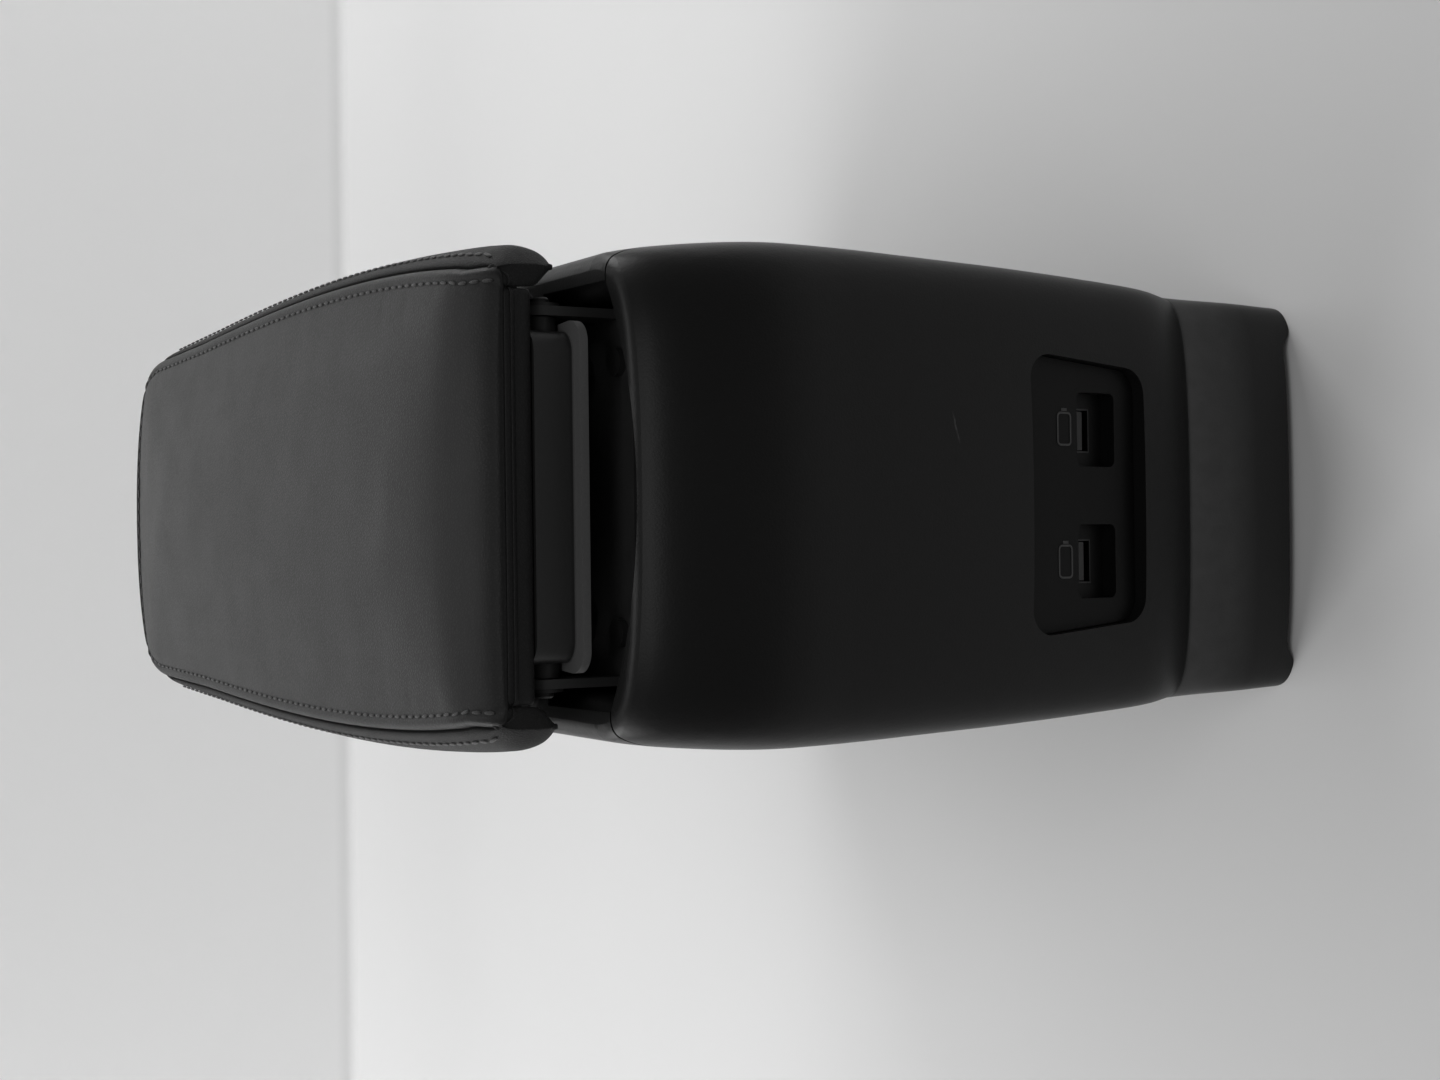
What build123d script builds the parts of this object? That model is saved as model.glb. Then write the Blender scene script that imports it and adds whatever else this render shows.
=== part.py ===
from build123d import *
from math import radians, tan
import os

os.makedirs("parts", exist_ok=True)

# Sizes in millimetres: X across the car, +Y forward, Z up
# The origin is the centre of the four floor bolts, on the floor

# Console body
deck_height = 221.5  # flat deck under the lid
wall = 2.8  # moulded console panels
panel_gap = 0.6  # open seam between two panels
seam_y = -101.0  # seam between rear panel and side panels
front_seam_y = 112.0  # seam between side panels and front panel
front_y = 152.0  # front wall at deck height
front_draft = 8.0  # lean of the front wall from deck to floor
front_corner = 34.0  # plan length of each front corner
side_taper = 2.5  # narrowing of each side towards the front
foot_corner = 13.0  # plan length of each rear corner at the floor
deck_corner = 26.0  # and at the deck
foot_straight = 0.86  # share of the half-width before the rear wall turns, at the floor
deck_straight = 0.7  # and at the deck
front_straight = 0.7
rear_corner_pull = 0.85  # fullness of the rear corners
front_corner_pull = 0.8  # fullness of the front corners
deck_edge_radius = 5.0  # rounding of the deck's outer edge
cut_over = 10.0  # cuts run this far past the faces they open

# Rear panel profile, each level with its reach behind the seam and half-width
foot_reach = 30.5
foot_half_width = 58.0
toe_height = 12.0
toe_reach = 29.6
toe_half_width = 58.7
crease_height = 36.0
crease_reach = 21.5
crease_half_width = 60.6
belly_height = 60.0
belly_reach = 29.0
belly_half_width = 62.4
back_height = 120.0
back_reach = 32.0
back_half_width = 65.5
shoulder_drop = 44.0
shoulder_reach = 31.5
shoulder_half_width = 67.5
roll_drop = 17.0
roll_reach = 25.0
roll_half_width = 66.2
deck_reach = 14.0
deck_half_width = 63.4
end_slope = 1.5  # steepening of the roll where it meets the deck
sweep_slope = 2.4  # steepening of the foot's sweep where it meets the crease
undercut_slope = 1.6  # steepening of the belly where it meets the crease
foot_steps = 5
body_steps = 17
foot_arch = 4.0  # rise of the foot's lower edge between its corners
foot_arch_half = 52.0
foot_arch_run = 9.0  # length of each rounded end of the arch

# Deck opening and hinge well
opening_half = 52.0
opening_front_y = 132.0
well_reach = 11.0  # rear edge of the well at the middle, behind the seam
well_cut = 34.0  # depth of the well's cut below the deck
well_front_y = -66.0  # front end of the well's rounded rim
rim_wall = 2.8
rim_depth = 12.0
rim_levels = ((-6.0, 0.0), (-3.2, 0.7), (-1.2, 2.3), (0.4, 5.2))  # height from the deck, widening

# Seam flanges and their screws
flange_depth = 9.0
flange_thickness = 2.4
flange_foot = 16.0
flange_top_drop = 34.0
panel_screw_heights = (44.0, 108.0, 172.0)

# Storage bin
bin_half_width = 44.0
bin_rear_y = -52.0
bin_front_y = 126.0
bin_corner = 14.0
bin_wall = 2.2
bin_floor_height = 95.0
bin_draft = 2.0
bin_flange = 2.0
bin_flange_half = 58.0
bin_flange_rear_y = -62.0
bin_flange_front_y = 138.0
mat_thickness = 1.6
mat_margin = 0.8
shelf_drop = 12.0  # hinge shelf top below the deck
shelf_thickness = 3.0
shelf_half_width = 50.0
shelf_rear_y = -98.0
gusset_depth = 26.0
gusset_thickness = 2.4
gusset_places = (-22.0, 0.0, 22.0)
hinge_screw_x = 36.0
hinge_screw_places = (-91.0, -72.0)
bin_screw_x = 55.2
bin_screw_places = (-38.0, 36.0, 100.0)

# Hinge
pivot_y = -85.0
pivot_rise = 11.5  # hinge axis above the deck
pin_radius = 3.0
running_clearance = 0.05
bracket_thickness = 2.5
bracket_half_width = 50.0
bracket_front_y = -66.0
ear_radius = 6.0
pin_end = 2.6  # pin beyond each ear
clip_thickness = 0.9
clip_radius = 5.6
bush_radius = 4.6
bush_play = 0.3  # end play between bush and ear
arm_thickness = 2.5
arm_outer_x = 38.5
arm_radius = 6.8
arm_front_y = -60.0
arm_foot_width = 14.0
arm_foot_rear_y = -80.0
shroud_half_width = 43.4
shroud_wall = 2.2
shroud_drop = 14.0  # shroud below the underside of the lid
shroud_front_y = -64.0
shroud_corner = 6.0
shroud_lip = 2.4
shroud_lip_reach = 3.4
shroud_lip_side = 2.6
shroud_tab_half = 18.0
shroud_tab_front_y = -70.0
shroud_screw_x = 10.0
shroud_screw_y = -76.0
arm_screw_places = (-75.0, -65.0)

# Lid
lid_clear = 7.0  # underside of the lid above the hinge axis
lid_rear_overhang = 11.0  # rear face of the lid behind the hinge axis
lid_front_y = 200.0
lid_rear_half = 66.2
lid_bulge_rear = 75.0  # handles of the side curves
lid_bulge_front = 67.9
lid_front_half = 61.8
lid_front_corner = 36.0
lid_rear_corner = 9.0
lid_front_pull = 0.62  # fullness of the front corners
lid_rear_pull = 0.55  # fullness of the rear corners
frame_thickness = 3.0
frame_inset = 9.2
frame_rib = 2.0
frame_rib_depth = 7.6
frame_rib_margin = 2.0  # rib ends inside the liner
frame_rib_places = (-20.0, 35.0, 90.0, 145.0)
frame_rail_x = 26.0
frame_rail_front_y = 148.0
pad_inset = 8.9
pad_foot_inset = 1.2  # foot of the pad inside its rolled edge
pad_seam = 0.3  # cross seam between the pad and the rear cover
pad_levels = (
    (7.6, 0.0, 2.2),
    (10.6, 1.7, 5.7),
    (12.7, 6.7, 9.9),
    (14.6, 24.0, 24.0),
)  # height above the frame, inset at the sides, inset at the rear
cover_thickness = 8.6
cover_drop = 12.0  # lower edge of the side covers below the lid's underside
cover_horn_drop = 2.6
cover_horn_y = -86.0
cover_slope_y = -46.0
cover_top = 12.0
rear_cover_top = 9.0  # height of the rear cover above the lid's underside
cover_belly_inset = 0.9
cover_belly_drop = 7.0
cover_shoulder_rise = 6.4
cover_shoulder_inset = 2.4
cover_lower_inset = 3.6
cover_top_inset = 6.0
cover_seam = 0.3
rear_cover_half = 53.2
rear_cover_front_y = -84.0
front_cover_rear_y = 164.0
liner_depth = 10.5
liner_inset = 11.5
liner_wall = 2.2
liner_rear_y = -58.0
liner_edge_radius = 3.0
liner_post_radius = 5.5
liner_sink = 4.0  # depth of each screw head's recess
liner_screw_x = 40.0
liner_screw_places = (-42.0, 62.0, 118.0)
stop_radius = 5.0
stop_gap = 0.2
stop_places = ((-50.5, -20.0), (50.5, -20.0), (-50.5, 118.0), (50.5, 118.0))

# Charging insert
insert_height = 83.3
insert_reach = 26.0
insert_tilt = 4.0
insert_top_width = 79.0
insert_foot_width = 71.0
insert_tall = 43.5
insert_corner = 7.0
insert_clearance = 0.3
insert_plate = 2.6
insert_skirt = 9.0
insert_skirt_wall = 1.8
collar_wall = 2.2
collar_depth = 12.0
pocket_width = 21.0
pocket_tall = 15.0
pocket_corner = 2.0
pocket_x = 18.7
pocket_drop = 6.6
pocket_depth = 5.2
socket_rim = 2.0
socket_depth = 20.0
slot_width = 12.6
slot_tall = 5.2
slot_depth = 10.0
shell_clearance = 0.05
shell_wall = 0.4
tongue_width = 11.0
tongue_thickness = 1.9
tongue_length = 9.4
tongue_rise = 0.5
board_thickness = 1.6
board_width = 66.0
board_tall = 24.0
header_width = 20.0
header_tall = 12.0
header_depth = 11.0
header_wall = 1.4

# Base bracket
bracket_margin = 10.0  # bracket inside the foot's half-width
base_thickness = 2.5
base_half_length = 70.0
base_flange_height = 34.0
bolt_x = 35.0
bolt_y = 50.0
bolt_hole_radius = 4.5
base_window_half_x = 22.0
base_window_half_y = 34.0
base_window_corner = 5.0
base_screw_y = 45.0
base_screw_height = 22.0
base_boss_radius = 5.5

# Screws
screw_radius = 1.9
screw_head_radius = 3.8
screw_head = 2.0
screw_clearance = 0.1
screw_end = 3.0  # shank beyond the pieces it holds
screw_cover = 0.2  # frame left over a screw's tip
head_clearance = 0.4
base_screw_radius = 2.4
base_screw_head_radius = 4.4
base_screw_head = 2.4
base_screw_bite = 5.0

# Heights that follow from the sizes above
pivot_z = deck_height + pivot_rise
lid_under = pivot_z + lid_clear
lid_rear_y = pivot_y - lid_rear_overhang
frame_top = lid_under + frame_thickness
shelf_top = deck_height - shelf_drop
flange_top = deck_height + bin_flange
base_half_width = foot_half_width - bracket_margin

foot_levels = (
    (0.0, foot_reach, foot_half_width),
    (toe_height, toe_reach, toe_half_width),
    (crease_height, crease_reach, crease_half_width),
)
body_levels = (
    (crease_height, crease_reach, crease_half_width),
    (belly_height, belly_reach, belly_half_width),
    (back_height, back_reach, back_half_width),
    (deck_height - shoulder_drop, shoulder_reach, shoulder_half_width),
    (deck_height - roll_drop, roll_reach, roll_half_width),
    (deck_height, deck_reach, deck_half_width),
)


# Slope of a smooth curve at the middle of three values, without overshoot
def slope_at(before, here, after, column):
    first = (here[column] - before[column]) / (here[0] - before[0])
    second = (after[column] - here[column]) / (after[0] - here[0])
    if first * second <= 0:
        return 0.0
    return 2 * first * second / (first + second)


# Reach or half-width of the console at any height, smooth through the named levels of foot or body
def level_value(z, column):
    levels = body_levels
    first_slope = undercut_slope
    last_slope = end_slope
    if z < crease_height:
        levels = foot_levels
        first_slope = 1.0
        last_slope = sweep_slope
    last = len(levels) - 1
    index = max(i for i in range(last) if levels[i][0] <= max(z, 0.0))
    low, high = levels[index], levels[index + 1]
    span = high[0] - low[0]
    straight = (high[column] - low[column]) / span
    leaving = first_slope * straight
    if index > 0:
        leaving = slope_at(levels[index - 1], low, high, column)
    arriving = last_slope * straight
    if index + 2 <= last:
        arriving = slope_at(low, high, levels[index + 2], column)
    t = (z - low[0]) / span
    start_share = 2 * t**3 - 3 * t**2 + 1
    value = start_share * low[column] + (1 - start_share) * high[column]
    return value + span * ((t**3 - 2 * t**2 + t) * leaving + (t**3 - t**2) * arriving)


# Outer half-width of the console at a height and place along it
def side_at(y, z):
    return level_value(z, 2) - side_taper * (y - seam_y) / (front_y - front_corner - seam_y)


# Closed outline of the console at one level, drawn inset from the outer face
def console_outline(height, reach, half_width, inset):
    side = half_width - inset
    front_side = side - side_taper
    back = seam_y - reach + inset
    share = height / deck_height
    corner = foot_corner + (deck_corner - foot_corner) * share
    straight = (foot_straight + (deck_straight - foot_straight) * share) * side
    turn = back + corner
    front = front_y - front_draft * (1 - share) - inset
    ahead = front - front_corner
    with BuildSketch(Plane.XY) as outline:
        with BuildLine():
            near_rear = turn - rear_corner_pull * corner
            Bezier((0, back), (straight, back), (side, near_rear), (side, turn))
            Line((side, turn), (front_side, ahead))
            near_front = ahead + front_corner_pull * front_corner
            pulled = (front_straight * side, front)
            Bezier((front_side, ahead), (front_side, near_front), pulled, (0, front))
            mirror(about=Plane.YZ)
        make_face()
    return outline.sketch


# Solid form of the console, foot and body meeting at the crease, inset and lowered for its hollow
def console_form(inset):
    with BuildPart() as form:
        spans = ((0.0, crease_height, foot_steps), (crease_height, deck_height, body_steps))
        for low, high, steps in spans:
            for step in range(steps + 1):
                height = low + (high - low) * step / steps
                with BuildSketch(Plane.XY.offset(height - inset)):
                    reach, half = level_value(height, 1), level_value(height, 2)
                    add(console_outline(height, reach, half, inset))
            loft()
    return form.part


# Closed plan outline of the lid, inset from the widest line of its covers
def lid_outline(inset, least_corner=1.0, rear_inset=None):
    rear = lid_rear_y + (inset if rear_inset is None else rear_inset)
    front = lid_front_y - inset
    rear_half = lid_rear_half - inset
    bulge_rear = lid_bulge_rear - inset
    bulge_front = lid_bulge_front - inset
    front_half = lid_front_half - inset
    corner = max(lid_rear_corner - inset, least_corner)
    start = rear + corner
    end = front - lid_front_corner
    third = (end - start) / 3
    lean = (front_half - bulge_front) / third
    reach = lid_front_pull * (front - end)
    with BuildSketch(Plane.XY) as outline:
        with BuildLine():
            Line((0, rear), (rear_half - corner, rear))
            bend = lid_rear_pull * corner
            turned = (rear_half - bend * (bulge_rear - rear_half) / third, start - bend)
            inner = rear_half - corner
            Bezier((inner, rear), (inner + bend, rear), turned, (rear_half, start))
            widest = (bulge_rear, start + third)
            tapering = (bulge_front, end - third)
            Bezier((rear_half, start), widest, tapering, (front_half, end))
            leaning = (front_half + lean * reach, end + reach)
            Bezier((front_half, end), leaning, (lid_front_pull * front_half, front), (0, front))
            mirror(about=Plane.YZ)
        make_face()
    return outline.sketch


# Pan head screw with its head's underside at the origin of the plane, shank along the plane's normal
def screw_at(place, radius, head_radius, head, length):
    with BuildPart() as screw:
        with BuildSketch(place):
            Circle(head_radius)
        extrude(amount=-head)
        with BuildSketch(place):
            Circle(radius)
        extrude(amount=length)
    return screw.part


def up_at(x, y, z):
    return Plane((x, y, z), x_dir=(1, 0, 0), z_dir=(0, 0, 1))


def down_at(x, y, z):
    return Plane((x, y, z), x_dir=(1, 0, 0), z_dir=(0, 0, -1))


def across_at(x, y, z, side):
    return Plane((x, y, z), x_dir=(0, 1, 0), z_dir=(side, 0, 0))


def rear_at(x, y, z):
    return Plane((x, y, z), x_dir=(1, 0, 0), z_dir=(0, -1, 0))


def save(block, name):
    block.part.label = name
    export_step(block.part, "parts/" + name + ".step")


# Plane of the charging insert's face, its normal pointing out of the panel
tilt_axis = Plane((0, seam_y - insert_reach, insert_height), x_dir=(1, 0, 0), z_dir=(0, -1, 0))
insert_face = tilt_axis.rotated((insert_tilt, 0, 0))


def insert_outline(grow):
    top = insert_top_width / 2 + grow
    foot = insert_foot_width / 2 + grow
    rise = insert_tall / 2 + grow
    with BuildSketch(Plane.XY) as outline:
        with BuildLine():
            Polyline((top, rise), (-top, rise), (-foot, -rise), (foot, -rise), close=True)
        make_face()
        fillet(vertices(), insert_corner + grow)
    return outline.sketch


# Console form shared by all its panels
with BuildPart() as console_solid:
    add(console_form(0))
    fillet(edges().group_by(Axis.Z)[-1], deck_edge_radius)

def well_outline(grow):
    half = opening_half + grow
    with BuildSketch(Plane.XY) as outline:
        with BuildLine():
            Polyline((-half, seam_y), (-half, well_front_y), (half, well_front_y), (half, seam_y))
            ThreePointArc((half, seam_y), (0, seam_y - well_reach - grow), (-half, seam_y))
        make_face()
    return outline.sketch


with BuildPart() as shell:
    add(console_solid.part)
    add(console_form(wall), mode=Mode.SUBTRACT)
    with BuildSketch(Plane.XY.offset(deck_height - wall)):
        add(well_outline(rim_wall))
    extrude(amount=wall - rim_depth)
    with BuildSketch(Plane.XY.offset(deck_height)):
        with Locations((0, (seam_y + opening_front_y) / 2)):
            Rectangle(2 * opening_half, opening_front_y - seam_y)
        add(well_outline(0))
    extrude(amount=well_cut, both=True, mode=Mode.SUBTRACT)

# Flare that rounds the rim of the hinge well
with BuildPart() as rim_flare:
    for rise, grow in rim_levels:
        with BuildSketch(Plane.XY.offset(deck_height + rise)):
            add(well_outline(grow))
    loft()

# Inward flanges on both faces of the seams
with BuildPart() as flanges:
    add(console_solid.part)
    add(console_form(wall + flange_depth), mode=Mode.SUBTRACT)
    with BuildSketch(Plane.XY.offset(flange_foot)):
        for middle in (seam_y, front_seam_y):
            with Locations((0, middle)):
                Rectangle(4 * deck_half_width, 2 * flange_thickness + panel_gap)
    extrude(amount=deck_height - flange_top_drop - flange_foot, mode=Mode.INTERSECT)

with BuildPart() as panels:
    add(shell.part)
    add(flanges.part)
    add(rim_flare.part, mode=Mode.SUBTRACT)
    for middle in (seam_y, front_seam_y):
        for height in panel_screw_heights:
            for side in (-1, 1):
                x = side * (side_at(middle, height) - wall - flange_depth / 2)
                with BuildSketch(rear_at(x, middle, height)):
                    Circle(screw_radius + screw_clearance)
                extrude(amount=flange_thickness + panel_gap, both=True, mode=Mode.SUBTRACT)

with BuildPart() as panel_screws:
    for middle in (seam_y, front_seam_y):
        for height in panel_screw_heights:
            for side in (-1, 1):
                x = side * (side_at(middle, height) - wall - flange_depth / 2)
                start = middle + panel_gap / 2 + flange_thickness
                place = rear_at(x, start, height)
                bite = 2 * flange_thickness + panel_gap + screw_end
                add(screw_at(place, screw_radius, screw_head_radius, screw_head, bite))
save(panel_screws, "panel_screws")

# Rear panel with its arched foot and the collar of the charging insert
with BuildPart() as collar:
    with BuildSketch(insert_face):
        add(insert_outline(insert_clearance + collar_wall))
    extrude(amount=collar_depth, both=True)
    add(console_solid.part, mode=Mode.INTERSECT)

with BuildPart() as rear_panel:
    add(panels.part)
    split(bisect_by=rear_at(0, seam_y - panel_gap / 2, 0), keep=Keep.TOP)
    add(collar.part)
    with BuildSketch(insert_face):
        add(insert_outline(insert_clearance))
    extrude(amount=2 * collar_depth, both=True, mode=Mode.SUBTRACT)
    with BuildSketch(rear_at(0, seam_y, 0)):
        with BuildLine():
            inner = foot_arch_half - foot_arch_run
            half = foot_arch_half - foot_arch_run / 2
            Bezier((foot_arch_half, 0), (half, 0), (half, foot_arch), (inner, foot_arch))
            Line((inner, foot_arch), (0, foot_arch))
            Line((foot_arch_half, 0), (foot_arch_half, -cut_over))
            Line((foot_arch_half, -cut_over), (0, -cut_over))
            mirror(about=Plane.YZ)
        make_face()
    extrude(amount=2 * foot_reach, mode=Mode.SUBTRACT)
save(rear_panel, "rear_panel")

# Side panels with the bosses of the base bracket and the holes of the bin screws
for side, name in ((-1, "left_side_panel"), (1, "right_side_panel")):
    with BuildPart() as bosses:
        for y in (-base_screw_y, base_screw_y):
            with BuildSketch(across_at(side * base_half_width, y, base_screw_height, side)):
                Circle(base_boss_radius)
            extrude(amount=2 * bracket_margin)
        add(console_solid.part, mode=Mode.INTERSECT)
    with BuildPart() as side_panel:
        add(panels.part)
        split(bisect_by=rear_at(0, seam_y + panel_gap / 2, 0), keep=Keep.BOTTOM)
        split(bisect_by=rear_at(0, front_seam_y - panel_gap / 2, 0), keep=Keep.TOP)
        split(bisect_by=across_at(0, 0, 0, side), keep=Keep.TOP)
        add(bosses.part)
        for y in (-base_screw_y, base_screw_y):
            with BuildSketch(across_at(side * base_half_width, y, base_screw_height, side)):
                Circle(base_screw_radius + screw_clearance)
            extrude(amount=base_screw_bite + screw_clearance, mode=Mode.SUBTRACT)
        for y in bin_screw_places:
            with BuildSketch(up_at(side * bin_screw_x, y, deck_height)):
                Circle(screw_radius + screw_clearance)
            extrude(amount=2 * wall, both=True, mode=Mode.SUBTRACT)
    save(side_panel, name)

with BuildPart() as front_panel:
    add(panels.part)
    split(bisect_by=rear_at(0, front_seam_y + panel_gap / 2, 0), keep=Keep.BOTTOM)
save(front_panel, "front_panel")

# Storage bin with its flange, the hinge shelf behind it and the shelf's gussets
bin_length = bin_front_y - bin_rear_y
bin_middle = (bin_front_y + bin_rear_y) / 2
flange_length = bin_flange_front_y - bin_flange_rear_y
flange_middle = (bin_flange_front_y + bin_flange_rear_y) / 2
with BuildPart() as storage_bin:
    with BuildSketch(Plane.XY.offset(deck_height)):
        with Locations((0, flange_middle)):
            RectangleRounded(2 * bin_flange_half, flange_length, bin_corner / 2)
    extrude(amount=bin_flange)
    with BuildSketch(Plane.XY.offset(flange_top)):
        with Locations((0, bin_middle)):
            outer_half = bin_half_width + bin_wall
            RectangleRounded(2 * outer_half, bin_length + 2 * bin_wall, bin_corner + bin_wall)
    extrude(amount=bin_floor_height - bin_wall - flange_top, taper=bin_draft)
    with BuildSketch(Plane.XY.offset(shelf_top)):
        with Locations((0, (shelf_rear_y + bin_rear_y) / 2)):
            Rectangle(2 * shelf_half_width, bin_rear_y - shelf_rear_y)
    extrude(amount=-shelf_thickness)
    for x in gusset_places:
        with BuildSketch(across_at(x - gusset_thickness / 2, 0, 0, 1)):
            with BuildLine():
                low = shelf_top - shelf_thickness
                Polyline((shelf_rear_y, low), (bin_rear_y, low), (bin_rear_y, low - gusset_depth), close=True)
            make_face()
        extrude(amount=gusset_thickness)
    with BuildSketch(Plane.XY.offset(flange_top)):
        with Locations((0, bin_middle)):
            RectangleRounded(2 * bin_half_width, bin_length, bin_corner)
    extrude(amount=bin_floor_height - flange_top, taper=bin_draft, mode=Mode.SUBTRACT)
    for y in bin_screw_places:
        for x in (-bin_screw_x, bin_screw_x):
            with BuildSketch(up_at(x, y, flange_top)):
                Circle(screw_radius + screw_clearance)
            extrude(amount=-bin_flange, mode=Mode.SUBTRACT)
    for y in hinge_screw_places:
        for x in (-hinge_screw_x, hinge_screw_x):
            with BuildSketch(up_at(x, y, shelf_top)):
                Circle(screw_radius + screw_clearance)
            extrude(amount=-shelf_thickness, mode=Mode.SUBTRACT)
save(storage_bin, "storage_bin")

with BuildPart() as bin_screws:
    for y in bin_screw_places:
        for x in (-bin_screw_x, bin_screw_x):
            place = down_at(x, y, flange_top)
            bite = bin_flange + wall + screw_end
            add(screw_at(place, screw_radius, screw_head_radius, screw_head, bite))
save(bin_screws, "bin_screws")

# Rubber mat on the bin floor
with BuildPart() as bin_mat:
    narrowing = (flange_top - bin_floor_height) * tan(radians(bin_draft)) + mat_margin
    with BuildSketch(Plane.XY.offset(bin_floor_height)):
        with Locations((0, bin_middle)):
            mat_half = bin_half_width - narrowing
            RectangleRounded(2 * mat_half, bin_length - 2 * narrowing, bin_corner - narrowing)
    extrude(amount=mat_thickness)
save(bin_mat, "bin_mat")

# Rubber stops under the liner
liner_bottom = lid_under - liner_depth
with BuildPart() as rubber_stops:
    with BuildSketch(Plane.XY.offset(flange_top)):
        with Locations(*stop_places):
            Circle(stop_radius)
    extrude(amount=liner_bottom - flange_top - stop_gap)
save(rubber_stops, "rubber_stops")

# Steel hinge bracket with its two ears
ear_inner = bracket_half_width - bracket_thickness
with BuildPart() as hinge_bracket:
    with BuildSketch(Plane.XY.offset(shelf_top)):
        with Locations((0, (shelf_rear_y + bracket_front_y) / 2)):
            Rectangle(2 * bracket_half_width, bracket_front_y - shelf_rear_y)
    extrude(amount=bracket_thickness)
    for side in (-1, 1):
        with BuildSketch(across_at(side * ear_inner, pivot_y, pivot_z, side)):
            Circle(ear_radius)
            tall = pivot_z - shelf_top
            with Locations((0, -side * tall / 2)):
                Rectangle(2 * ear_radius, tall)
        extrude(amount=bracket_thickness)
        with BuildSketch(across_at(side * ear_inner, pivot_y, pivot_z, side)):
            Circle(pin_radius + running_clearance)
        extrude(amount=bracket_thickness, mode=Mode.SUBTRACT)
    for y in hinge_screw_places:
        for x in (-hinge_screw_x, hinge_screw_x):
            with BuildSketch(up_at(x, y, shelf_top)):
                Circle(screw_radius + screw_clearance)
            extrude(amount=bracket_thickness, mode=Mode.SUBTRACT)
save(hinge_bracket, "hinge_bracket")

with BuildPart() as hinge_screws:
    for y in hinge_screw_places:
        for x in (-hinge_screw_x, hinge_screw_x):
            place = down_at(x, y, shelf_top + bracket_thickness)
            bite = bracket_thickness + shelf_thickness + screw_end
            add(screw_at(place, screw_radius, screw_head_radius, screw_head, bite))
save(hinge_screws, "hinge_screws")

# Hinge pin and the clips outside its ears
with BuildPart() as hinge_pin:
    with BuildSketch(across_at(0, pivot_y, pivot_z, 1)):
        Circle(pin_radius)
    extrude(amount=bracket_half_width + pin_end, both=True)
    chamfer(edges().filter_by(GeomType.CIRCLE), pin_radius / 6)
save(hinge_pin, "hinge_pin")

with BuildPart() as pin_clips:
    for side in (-1, 1):
        with BuildSketch(across_at(side * (bracket_half_width + running_clearance), pivot_y, pivot_z, side)):
            Circle(clip_radius)
            Circle(pin_radius + running_clearance, mode=Mode.SUBTRACT)
            with Locations((clip_radius / 2, 0)):
                Rectangle(clip_radius, pin_radius, mode=Mode.SUBTRACT)
        extrude(amount=clip_thickness)
save(pin_clips, "pin_clips")

# Hinge arms under the lid, with their bushes and screws
arm_inner_x = arm_outer_x - arm_thickness
arm_foot_z = lid_under - arm_thickness
arm_screw_x = arm_inner_x - arm_foot_width / 2
for side, name in ((-1, "left_hinge_arm"), (1, "right_hinge_arm")):
    with BuildPart() as hinge_arm:
        with BuildSketch(Plane.YZ.offset(side * (arm_inner_x + arm_thickness / 2))):
            with Locations((pivot_y, pivot_z)):
                Circle(arm_radius)
            with BuildLine():
                Polyline(
                    (pivot_y, pivot_z - arm_radius),
                    (arm_front_y, arm_foot_z),
                    (arm_front_y, lid_under),
                    (pivot_y, lid_under),
                    close=True,
                )
            make_face()
        extrude(amount=arm_thickness / 2, both=True)
        with BuildSketch(Plane.XY.offset(arm_foot_z)):
            with Locations((side * arm_screw_x, (arm_foot_rear_y + arm_front_y) / 2)):
                Rectangle(arm_foot_width, arm_front_y - arm_foot_rear_y)
        extrude(amount=arm_thickness)
        with BuildSketch(Plane.YZ.offset(side * (arm_inner_x + arm_thickness / 2))):
            with Locations((pivot_y, pivot_z)):
                Circle(bush_radius + running_clearance)
        extrude(amount=arm_thickness / 2, both=True, mode=Mode.SUBTRACT)
        for y in arm_screw_places:
            with BuildSketch(up_at(side * arm_screw_x, y, arm_foot_z)):
                Circle(screw_radius + screw_clearance)
            extrude(amount=arm_thickness, mode=Mode.SUBTRACT)
    save(hinge_arm, name)

with BuildPart() as hinge_bushes:
    for side in (-1, 1):
        with BuildSketch(across_at(side * arm_inner_x, pivot_y, pivot_z, side)):
            Circle(bush_radius)
            Circle(pin_radius + running_clearance, mode=Mode.SUBTRACT)
        extrude(amount=ear_inner - bush_play - arm_inner_x)
save(hinge_bushes, "hinge_bushes")

lid_bite = frame_thickness - screw_cover
with BuildPart() as arm_screws:
    for y in arm_screw_places:
        for side in (-1, 1):
            place = up_at(side * arm_screw_x, y, arm_foot_z)
            add(screw_at(place, screw_radius, screw_head_radius, screw_head, arm_thickness + lid_bite))
save(arm_screws, "arm_screws")

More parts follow.
